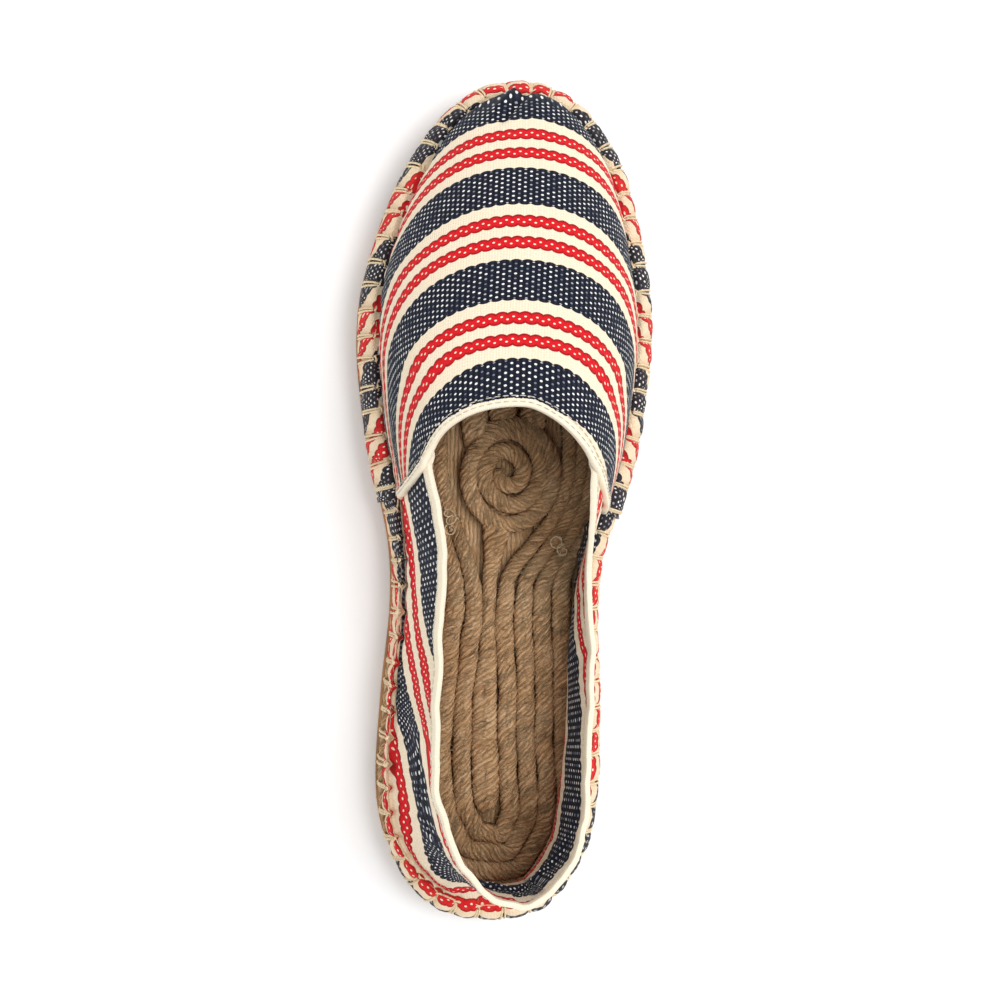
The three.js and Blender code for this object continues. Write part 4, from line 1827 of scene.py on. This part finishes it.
class NodeBench:
    """Lays out the shader nodes of one material."""

    def __init__(self, name: str) -> None:
        """Starts an empty material.

        Args:
            name: the material's name.
        """
        self.material = bpy.data.materials.new(name)
        self.material.use_nodes = True
        self.tree = self.material.node_tree
        self.tree.nodes.clear()

    def add(self, kind: str, **settings: object) -> bpy.types.Node:
        """Adds a node with some of its settings.

        Args:
            kind: the node's type.
            settings: its properties.

        Returns:
            The node.
        """
        node = self.tree.nodes.new(kind)
        for name, value in settings.items():
            setattr(node, name, value)
        return node

    def feed(self, socket: Socket, value: Feed | Paint) -> None:
        """Links a socket, or sets its constant number or colour.

        Args:
            socket: what is fed.
            value: a node's output, a number, or a paint card's three numbers.
        """
        if isinstance(value, bpy.types.NodeSocket):
            self.tree.links.new(value, socket)
        else:
            socket.default_value = linear(value) if isinstance(value, tuple) else value

    def math(self, operation: str, *values: Feed, clamp: bool = False) -> Socket:
        """Result of one sum.

        Args:
            operation: the sum.
            values: what goes in.
            clamp: keep the result from 0 to 1.

        Returns:
            The result.
        """
        node = self.add("ShaderNodeMath", operation=operation, use_clamp=clamp)
        for socket, value in zip(node.inputs, values):
            self.feed(socket, value)
        return node.outputs[0]

    def times(self, first: Feed, second: Feed, clamp: bool = False) -> Socket:
        """Product of two values."""
        return self.math("MULTIPLY", first, second, clamp=clamp)

    def scaled(self, value: Feed, scale: Feed, added: Feed, clamp: bool = False) -> Socket:
        """A value times a scale, plus what is added."""
        return self.math("MULTIPLY_ADD", value, scale, added, clamp=clamp)

    def plus(self, first: Feed, second: Feed, clamp: bool = False) -> Socket:
        """Sum of two values."""
        return self.math("ADD", first, second, clamp=clamp)

    def less(self, first: Feed, second: Feed, clamp: bool = False) -> Socket:
        """First value less the second."""
        return self.math("SUBTRACT", first, second, clamp=clamp)

    def over(self, first: Feed, second: Feed) -> Socket:
        """First value divided by the second."""
        return self.math("DIVIDE", first, second)

    def larger(self, first: Feed, second: Feed, clamp: bool = False) -> Socket:
        """Larger of two values."""
        return self.math("MAXIMUM", first, second, clamp=clamp)

    def size_of(self, value: Feed) -> Socket:
        """A value without its sign."""
        return self.math("ABSOLUTE", value)

    def whole(self, value: Feed) -> Socket:
        """Nearest whole number."""
        return self.math("ROUND", value)

    def wave(self, value: Feed, pitch: float) -> Socket:
        """A row of humps from 0 to 1, with tops at whole pitches."""
        return self.scaled(self.math("COSINE", self.times(value, FULL_TURN / pitch)), 0.5, 0.5)

    def step(self, value: Feed, low: float, high: float, soft: bool = True) -> Socket:
        """Step from 0 at low to 1 at high; low may be the larger.

        Args:
            value: what is stepped.
            low: where it starts.
            high: where it ends.
            soft: an S-shaped step.

        Returns:
            The step.
        """
        node = self.add("ShaderNodeMapRange", interpolation_type="SMOOTHSTEP" if soft else "LINEAR")
        for socket, feed in zip(node.inputs, (value, low, high, 0.0, 1.0)):
            self.feed(socket, feed)
        return node.outputs[0]

    def mix(self, share: Feed, first: Feed | Paint, second: Feed | Paint) -> Socket:
        """Colour between two colours.

        Args:
            share: 0 for the first, 1 for the second.
            first: a colour.
            second: a colour.

        Returns:
            The mix.
        """
        node = self.add("ShaderNodeMix", data_type="RGBA")
        self.feed(node.inputs[0], share)
        self.feed(node.inputs[6], first)
        self.feed(node.inputs[7], second)
        return node.outputs[2]

    def vector(self, x: Feed, y: Feed, z: Feed = 0.0) -> Socket:
        """Vector of three values.

        Args:
            x: first value.
            y: second value.
            z: third value.

        Returns:
            The vector.
        """
        node = self.add("ShaderNodeCombineXYZ")
        for socket, value in zip(node.inputs, (x, y, z)):
            self.feed(socket, value)
        return node.outputs[0]

    def noise(self, vector: Socket, scale: float, detail: float = 2.0, rough: float = 0.5) -> Socket:
        """Cloudy noise between 0 and 1.

        Args:
            vector: where it is read.
            scale: how fine it is.
            detail: its layers.
            rough: weight of the fine layers.

        Returns:
            The noise.
        """
        node = self.add("ShaderNodeTexNoise", noise_dimensions="3D")
        self.feed(node.inputs["Vector"], vector)
        node.inputs["Scale"].default_value = scale
        node.inputs["Detail"].default_value = detail
        node.inputs["Roughness"].default_value = rough
        return node.outputs[0]

    def chance(self, x: Feed, y: Feed) -> Socket:
        """A random value for each whole pair of numbers.

        Args:
            x: first number.
            y: second number.

        Returns:
            A value from 0 to 1.
        """
        node = self.add("ShaderNodeTexWhiteNoise", noise_dimensions="2D")
        self.feed(node.inputs["Vector"], self.vector(x, y))
        return node.outputs["Value"]

    def place(self) -> Socket:
        """Place on the shoe, in millimetres.

        Returns:
            The place.
        """
        node = self.add("ShaderNodeTexCoord")
        scaled = self.add("ShaderNodeVectorMath", operation="SCALE")
        self.feed(scaled.inputs[0], node.outputs["Object"])
        scaled.inputs["Scale"].default_value = 1000.0
        return scaled.outputs[0]

    def flat(self, name: str) -> tuple[Socket, Socket]:
        """The two coordinates of a map.

        Args:
            name: the map.

        Returns:
            Across and along.
        """
        node = self.add("ShaderNodeUVMap", uv_map=name)
        parts = self.add("ShaderNodeSeparateXYZ")
        self.feed(parts.inputs[0], node.outputs[0])
        return parts.outputs[0], parts.outputs[1]

    def mark(self) -> Socket:
        """The mark written on the mesh: tan staining on the canvas, painted shade on the jute and in the
        crease.
        """
        return self.add("ShaderNodeAttribute", attribute_name="mark").outputs["Fac"]

    def bump(self, height: Socket, distance: float, strength: float = 1.0) -> Socket:
        """Normals from a height; distance is the height's span in millimetres.

        Args:
            height: from 0 to 1.
            distance: its span.
            strength: how strongly it shows.

        Returns:
            The normals.
        """
        node = self.add("ShaderNodeBump")
        node.inputs["Strength"].default_value = strength
        node.inputs["Distance"].default_value = distance * MM
        self.feed(node.inputs["Height"], height)
        return node.outputs[0]

    def finish(self, colour: Feed, rough: Feed, normal: Socket, sheen: float) -> bpy.types.Material:
        """Joins everything in the shader.

        Args:
            colour: colour or its node.
            rough: roughness.
            normal: bumped normals.
            sheen: strength of the soft sheen.

        Returns:
            The material.
        """
        shader = self.add("ShaderNodeBsdfPrincipled")
        self.feed(shader.inputs["Base Color"], colour)
        self.feed(shader.inputs["Roughness"], rough)
        self.feed(shader.inputs["Normal"], normal)
        shader.inputs["Specular IOR Level"].default_value = 0.25
        shader.inputs["Sheen Weight"].default_value = sheen
        shader.inputs["Sheen Roughness"].default_value = 0.5
        output = self.add("ShaderNodeOutputMaterial")
        self.tree.links.new(shader.outputs[0], output.inputs["Surface"])
        return self.material


@dataclass(frozen=True)
class CanvasFinish:
    """Woven stripes: navy with pale dots and painted shading on its yarn loops, cream, and red with a chain
    of pale dots.
    """

    repeat: float = 29.4
    column: float = 1.7
    row: float = 1.5
    navy_half: float = 5.75
    red_middle: float = 11.4
    red_half: float = 1.45
    scallop: float = 0.52
    blur: float = 0.07
    dot_wide: float = 0.4
    dot_tall: float = 0.26
    cream: Paint = (250, 235, 210)
    cream_shade: Paint = (233, 210, 178)
    navy: Paint = (32, 38, 60)
    # navy of the painted shade between the yarn loops
    navy_shade: Paint = (9, 12, 22)
    red: Paint = (216, 20, 30)
    red_deep: Paint = (140, 5, 12)
    dot: Paint = (240, 240, 238)
    dot_dim: Paint = (110, 116, 135)
    # tan of the staining, also the colour of the painted crease shade
    tan: Paint = (230, 194, 150)
    faded: Paint = (246, 200, 186)

    def make(self) -> bpy.types.Material:
        """Builds the material.

        Returns:
            The material.
        """
        b = NodeBench("striped_canvas")
        u, v = b.flat("cloth")
        place = b.place()
        across = b.math("WRAP", v, self.repeat / 2, -self.repeat / 2)
        size = b.size_of(across)
        number = b.whole(b.over(u, self.column))
        beside = b.less(u, b.times(number, self.column))
        odd = b.math("MODULO", b.size_of(number), 2.0)
        navy_edge = b.scaled(self._scallops(b, u, across), self.scallop, self.navy_half)
        navy = b.step(b.less(size, navy_edge), self.blur, -self.blur)
        chain = b.times(b.math("SIGN", across), b.less(size, self.red_middle))
        red_edge = b.scaled(self._scallops(b, u, chain), self.scallop, self.red_half)
        off = b.less(b.size_of(chain), red_edge)
        red = b.step(off, self.blur, -self.blur)
        shift = b.scaled(odd, -self.row / 2, self.row / 4)
        along = b.over(b.plus(across, shift), self.row)
        line = b.whole(along)
        past = b.times(b.less(along, line), self.row)
        band = b.times(b.whole(b.over(v, self.repeat)), 37.0)
        luck = b.chance(b.plus(number, band), line)
        dot = self._dot(b, beside, past, luck)
        dot = b.times(dot, b.step(size, self.navy_half - 0.14, self.navy_half - 0.24))
        chain_shift = b.scaled(odd, -0.8, 0.4)
        pearl = self._dot(b, beside, b.plus(chain, chain_shift), 0.5)
        loops = b.times(b.wave(beside, self.column), b.wave(b.plus(past, self.row / 2), self.row))
        fuzz = b.noise(b.vector(u, b.times(v, 0.5)), 2.2, 3.0, 0.65)
        fine = b.noise(place, 0.35, 4.0, 0.7)
        # painted highlight on the crowns of the navy yarn loops and painted shade between them, with random
        # tone from the fuzz
        navy_loop_shading = b.plus(b.times(loops, 0.75), b.scaled(fuzz, 0.7, -0.25), clamp=True)
        navy_colour = b.mix(navy_loop_shading, self.navy_shade, self.navy)
        dots = b.mix(b.step(luck, 0.0, 0.75), self.dot_dim, self.dot)
        navy_colour = b.mix(dot, navy_colour, dots)
        rim = b.step(off, -0.95, -0.15)
        red_mix = b.plus(b.times(rim, 0.75), b.scaled(fuzz, 0.6, -0.25), clamp=True)
        red_colour = b.mix(red_mix, self.red, self.red_deep)
        red_colour = b.mix(pearl, red_colour, self.cream)
        weft = b.wave(b.plus(v, b.times(odd, self.row / 4)), self.row / 2)
        ribs = b.wave(u, self.column / 2)
        grain = b.scaled(weft, 0.35, b.times(ribs, 0.3))
        cream_mix = b.less(b.scaled(fuzz, 0.9, 0.1), b.times(grain, 0.9), clamp=True)
        cream_colour = b.mix(cream_mix, self.cream, self.cream_shade)
        mark = b.mark()
        # tan staining on the ring and at the stitches, with painted shade along the crease
        tan_stain_and_shade = b.times(b.larger(mark, 0.0), b.scaled(fine, 1.6, -0.1), clamp=True)
        cream_colour = b.mix(tan_stain_and_shade, cream_colour, self.tan)
        colour = b.mix(navy, b.mix(red, cream_colour, red_colour), navy_colour)
        faded = b.times(b.larger(b.times(mark, -1.0), 0.0), b.step(fuzz, 0.35, 0.6))
        colour = b.mix(b.times(faded, red), colour, self.faded)
        colour = b.mix(b.times(tan_stain_and_shade, 0.07), colour, self.tan)
        yarn = b.times(loops, b.less(1.0, b.larger(dot, pearl)))
        raised = b.larger(navy, red)
        height = b.mix(raised, grain, b.scaled(yarn, 0.8, 0.55))
        height = b.plus(height, b.times(fuzz, 0.5))
        return b.finish(colour, 0.92, b.bump(height, 0.32), 0.06)

    def _scallops(self, b: NodeBench, u: Socket, side: Socket) -> Socket:
        """Arches along a stripe's edges, staggered between its two sides.

        Args:
            b: the bench.
            u: distance along the stripe.
            side: signed distance across it.

        Returns:
            The arches, from 0 to 1.
        """
        lower = b.step(side, -0.01, 0.01)
        turn = b.scaled(lower, 0.5, b.over(u, 2 * self.column))
        saw = b.size_of(b.less(turn, b.whole(turn)))
        return b.less(1.0, b.math("POWER", b.times(saw, 2.0), 2.4), clamp=True)

    def _dot(self, b: NodeBench, beside: Socket, past: Socket, luck: Feed) -> Socket:
        """A pale dot round a point.

        Args:
            b: the bench.
            beside: distance along the stripe.
            past: distance across it.
            luck: how faint the dot is.

        Returns:
            1 in the dot, 0 off it.
        """
        x = b.math("POWER", b.size_of(b.over(beside, self.dot_wide)), 2.0)
        y = b.math("POWER", b.size_of(b.over(past, self.dot_tall)), 2.0)
        reach = b.plus(x, y)
        return b.step(b.scaled(luck, -0.35, reach), 1.1, 0.55)


@dataclass(frozen=True)
class JuteFinish:
    """Natural jute fibre with fine streaks along the strands, and painted shade in the valleys between
    strands and plies.
    """

    name: str = "natural_jute"
    light: Paint = (250, 214, 170)
    middle: Paint = (210, 165, 118)
    dark: Paint = (146, 104, 66)
    # colour of the painted shade in the valleys
    valley_shade: Paint = (70, 44, 22)
    yarn: float = 1.35
    # weight of the painted shade in the gullies between plies
    gully_shade: float = 0.6

    def make(self) -> bpy.types.Material:
        """Builds the material.

        Returns:
            The material.
        """
        b = NodeBench(self.name)
        across, along = b.flat("fibre")
        place = b.place()
        wander = b.scaled(b.noise(place, 0.22, 2.0, 0.5), 1.6, across)
        ply = b.size_of(b.math("COSINE", b.times(wander, math.pi / self.yarn)))
        gully_shade = b.math("POWER", b.less(1.0, ply, clamp=True), 1.6)
        streak = b.noise(b.vector(across, b.times(along, 0.09)), 1.5, 4.0, 0.75)
        hair = b.noise(b.vector(across, b.times(along, 0.12), 7.0), 5.2, 3.0, 0.8)
        cloud = b.noise(place, 0.055, 3.0, 0.6)
        tone = b.plus(b.plus(b.times(streak, 1.2), b.times(hair, 1.3)), b.times(cloud, 0.7))
        tone = b.step(tone, 1.2, 1.9, soft=False)
        colour = b.mix(b.step(tone, 0.0, 0.5, soft=False), self.dark, self.middle)
        colour = b.mix(b.step(tone, 0.5, 1.0, soft=False), colour, self.light)
        # painted shade in the rope valleys and gullies, from the mesh's mark and the ply
        valley_shade_share = b.larger(b.mark(), b.times(gully_shade, self.gully_shade), clamp=True)
        colour = b.mix(b.times(valley_shade_share, 0.75), colour, self.valley_shade)
        height = b.plus(b.plus(b.times(streak, 0.6), b.times(hair, 0.4)), b.times(ply, 0.5))
        return b.finish(colour, 0.85, b.bump(height, 0.9), 0.0)


@dataclass(frozen=True)
class TapeFinish:
    """Cream cotton tape with fine ribs across it."""

    pale: Paint = (255, 244, 222)
    shade: Paint = (238, 220, 190)
    rib: float = 0.56

    def make(self) -> bpy.types.Material:
        """Builds the material.

        Returns:
            The material.
        """
        b = NodeBench("cream_tape")
        across, along = b.flat("cloth")
        skew = b.scaled(across, 0.35, along)
        wave = b.wave(skew, self.rib)
        fuzz = b.noise(b.vector(b.times(across, 1.6), b.times(along, 0.6)), 2.0, 3.0, 0.6)
        mixed = b.scaled(wave, -0.35, b.scaled(fuzz, 1.1, -0.1), clamp=True)
        colour = b.mix(mixed, self.pale, self.shade)
        height = b.scaled(fuzz, 0.8, b.times(wave, 0.6))
        return b.finish(colour, 0.9, b.bump(height, 0.2), 0.05)


@dataclass(frozen=True)
class ThreadFinish:
    """Twisted thread."""

    name: str
    pale: Paint
    shade: Paint
    lay: float = 1.5

    def make(self) -> bpy.types.Material:
        """Builds the material.

        Returns:
            The material.
        """
        b = NodeBench(self.name)
        around, along = b.flat("fibre")
        twist = b.plus(b.times(around, 2.0), b.over(along, self.lay))
        wave = b.wave(twist, 1.0)
        fuzz = b.noise(b.place(), 1.3, 3.0, 0.6)
        mixed = b.scaled(wave, -0.6, b.scaled(fuzz, 1.2, 0.05), clamp=True)
        colour = b.mix(mixed, self.pale, self.shade)
        height = b.scaled(fuzz, 0.3, wave)
        return b.finish(colour, 0.8, b.bump(height, 0.12), 0.05)


@dataclass(frozen=True)
class RubberFinish:
    """Matt gum rubber with faint streaks of dirt."""

    gum: Paint = (176, 128, 82)
    dirt: Paint = (126, 92, 62)

    def make(self) -> bpy.types.Material:
        """Builds the material.

        Returns:
            The material.
        """
        b = NodeBench("gum_rubber")
        place = b.place()
        cloud = b.noise(place, 0.06, 4.0, 0.6)
        grain = b.noise(place, 1.6, 3.0, 0.7)
        colour = b.mix(b.step(cloud, 0.35, 0.75), self.gum, self.dirt)
        colour = b.mix(b.times(b.step(grain, 0.5, 0.8), 0.25), colour, self.dirt)
        return b.finish(colour, b.scaled(grain, 0.2, 0.5), b.bump(grain, 0.06), 0.0)


@dataclass(frozen=True)
class FloorFinish:
    """Plain pale floor."""

    pale: Paint = (252, 252, 252)
    dust: Paint = (240, 240, 240)

    def make(self) -> bpy.types.Material:
        """Builds the material.

        Returns:
            The material.
        """
        b = NodeBench("pale_floor")
        grain = b.noise(b.place(), 0.02, 2.0, 0.5)
        colour = b.mix(b.times(grain, 0.03), self.pale, self.dust)
        return b.finish(colour, 0.95, b.bump(grain, 0.01), 0.0)


# --- Studio ---


@dataclass
class Studio:
    """Pale floor, soft lights and the camera above the shoe."""

    floor_finish: bpy.types.Material
    camera_at: Place = (51.1, -3.3, 435.0)
    target: Place = (0.2, -0.2, 20.0)
    roll: float = 2.3
    lens: float = 48.37
    floor_size: float = 12.0
    world_light: float = 0.86
    key_power: float = 9.5
    key_from: Place = (-0.5, -0.15, 1.25)
    key_size: float = 0.7

    def build(self) -> None:
        """Makes the floor, the lights and the camera."""
        self._floor()
        self._light("key_softbox", self.key_from, self.key_size, self.key_power)
        world = bpy.data.worlds.new("studio")
        world.use_nodes = True
        background = world.node_tree.nodes["Background"]
        background.inputs["Color"].default_value = (1.0, 1.0, 1.0, 1.0)
        background.inputs["Strength"].default_value = self.world_light
        bpy.context.scene.world = world
        bpy.context.scene.view_settings.view_transform = "Standard"
        self._camera()

    def _floor(self) -> None:
        """Floor sheet."""
        half = self.floor_size / 2
        mesh = bpy.data.meshes.new("floor")
        corners = [(-half, -half, 0), (half, -half, 0), (half, half, 0), (-half, half, 0)]
        mesh.from_pydata(corners, [], [(0, 1, 2, 3)])
        mesh.materials.append(self.floor_finish)
        made = bpy.data.objects.new("floor", mesh)
        bpy.context.scene.collection.objects.link(made)

    def _light(self, name: str, at: Place, size: float, power: float) -> None:
        """Square soft light aimed at the shoe.

        Args:
            name: its name.
            at: where it hangs.
            size: its side.
            power: its watts.
        """
        lamp = bpy.data.lights.new(name, "AREA")
        lamp.shape = "SQUARE"
        lamp.size = size
        lamp.energy = power
        made = bpy.data.objects.new(name, lamp)
        made.location = at
        made.rotation_euler = (-Vector(at)).to_track_quat("-Z", "Y").to_euler()
        bpy.context.scene.collection.objects.link(made)

    def _camera(self) -> None:
        """Camera over the shoe with the toe at the top of the picture."""
        data = bpy.data.cameras.new("camera")
        data.lens = self.lens
        data.sensor_width = 36.0
        data.clip_start = 0.01
        made = bpy.data.objects.new("camera", data)
        at, target = Vector(self.camera_at) * MM, Vector(self.target) * MM
        back = (at - target).normalized()
        turn = math.radians(self.roll)
        top = Vector((math.sin(turn), -math.cos(turn), 0.0))
        right = top.cross(back).normalized()
        top = back.cross(right)
        rows = Matrix((right, top, back)).transposed()
        made.matrix_world = Matrix.Translation(at) @ rows.to_4x4()
        bpy.context.scene.collection.objects.link(made)
        bpy.context.scene.camera = made


# --- Assembly ---


def measure_last() -> LastShape:
    """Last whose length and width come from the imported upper.

    Returns:
        The shape that all pieces are built on.
    """
    low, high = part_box("upper")
    length = round((high[1] - low[1]) / MM, 1) + 2 * SKIRT_INSET
    return LastShape(length=length, ball_width=round(BALL_SHARE * length, 1))


def crossing_line(grid: Array, normals: Array, rows: int) -> tuple[Array, Array]:
    """Edge of the vamp: up one ear, along the throat and down the other ear.

    Args:
        grid: the vamp's outer face.
        normals: its normals.
        rows: rows of its skirt.

    Returns:
        The line and the normals along it.
    """
    up, edge, down = grid[rows:-1, 0], grid[-1], grid[rows:-1, -1][::-1]
    ups, edges, downs = normals[rows:-1, 0], normals[-1], normals[rows:-1, -1][::-1]
    return np.concatenate([up, edge, down]), np.concatenate([ups, edges, downs])


def main() -> None:
    """Builds the shoe and the studio around it."""
    logging.basicConfig(level=logging.INFO, format="%(message)s")
    shape = measure_last()
    stitches = StitchPlan(shape)
    faces = UpperShape(shape, stitches)
    canvas, jute, tape = CanvasFinish().make(), JuteFinish().make(), TapeFinish().make()
    natural = ThreadFinish("natural_thread", (255, 236, 200), (224, 192, 146)).make()
    white = ThreadFinish("white_thread", (250, 244, 230), (214, 200, 172), lay=0.8).make()
    fluff = JuteFinish("loose_fibre", (255, 230, 190), (232, 198, 152), (190, 150, 106)).make()
    rubber = RubberFinish().make()
    upper = Upper(faces, canvas)
    made = upper.build()
    edges = {
        "throat_tape": crossing_line(*made["vamp"], upper.skirt_rows),
        "collar_tape": tuple(grid[-1] for grid in made["quarter"]),
    }
    cuts = {
        "throat_tape": {"beyond": 0.9, "lap": 1.3, "inner_lap": 1.3, "rows": (2.1, 0.3), "sink": 2.4},
        "collar_tape": {
            "beyond": 0.6, "lap": 2.4, "inner_lap": 1.9, "rows": (2.0,), "thickness": 0.3, "seed": 8,
        },
    }
    for name, (line, normals) in edges.items():
        EdgeTape(name, line, normals, tape, white, cloth=faces.cloth, **cuts[name]).build()
    EdgeSewing(faces, natural).build()
    JuteFootbed(shape, jute, fluff).build()
    JuteBraid(shape, jute=jute, fluff=fluff, faces=faces).build()
    RubberOutsole(shape, rubber=rubber).build()
    LooseThreads(natural).build()
    Studio(FloorFinish().make()).build()


if __name__ == "__main__":
    main()
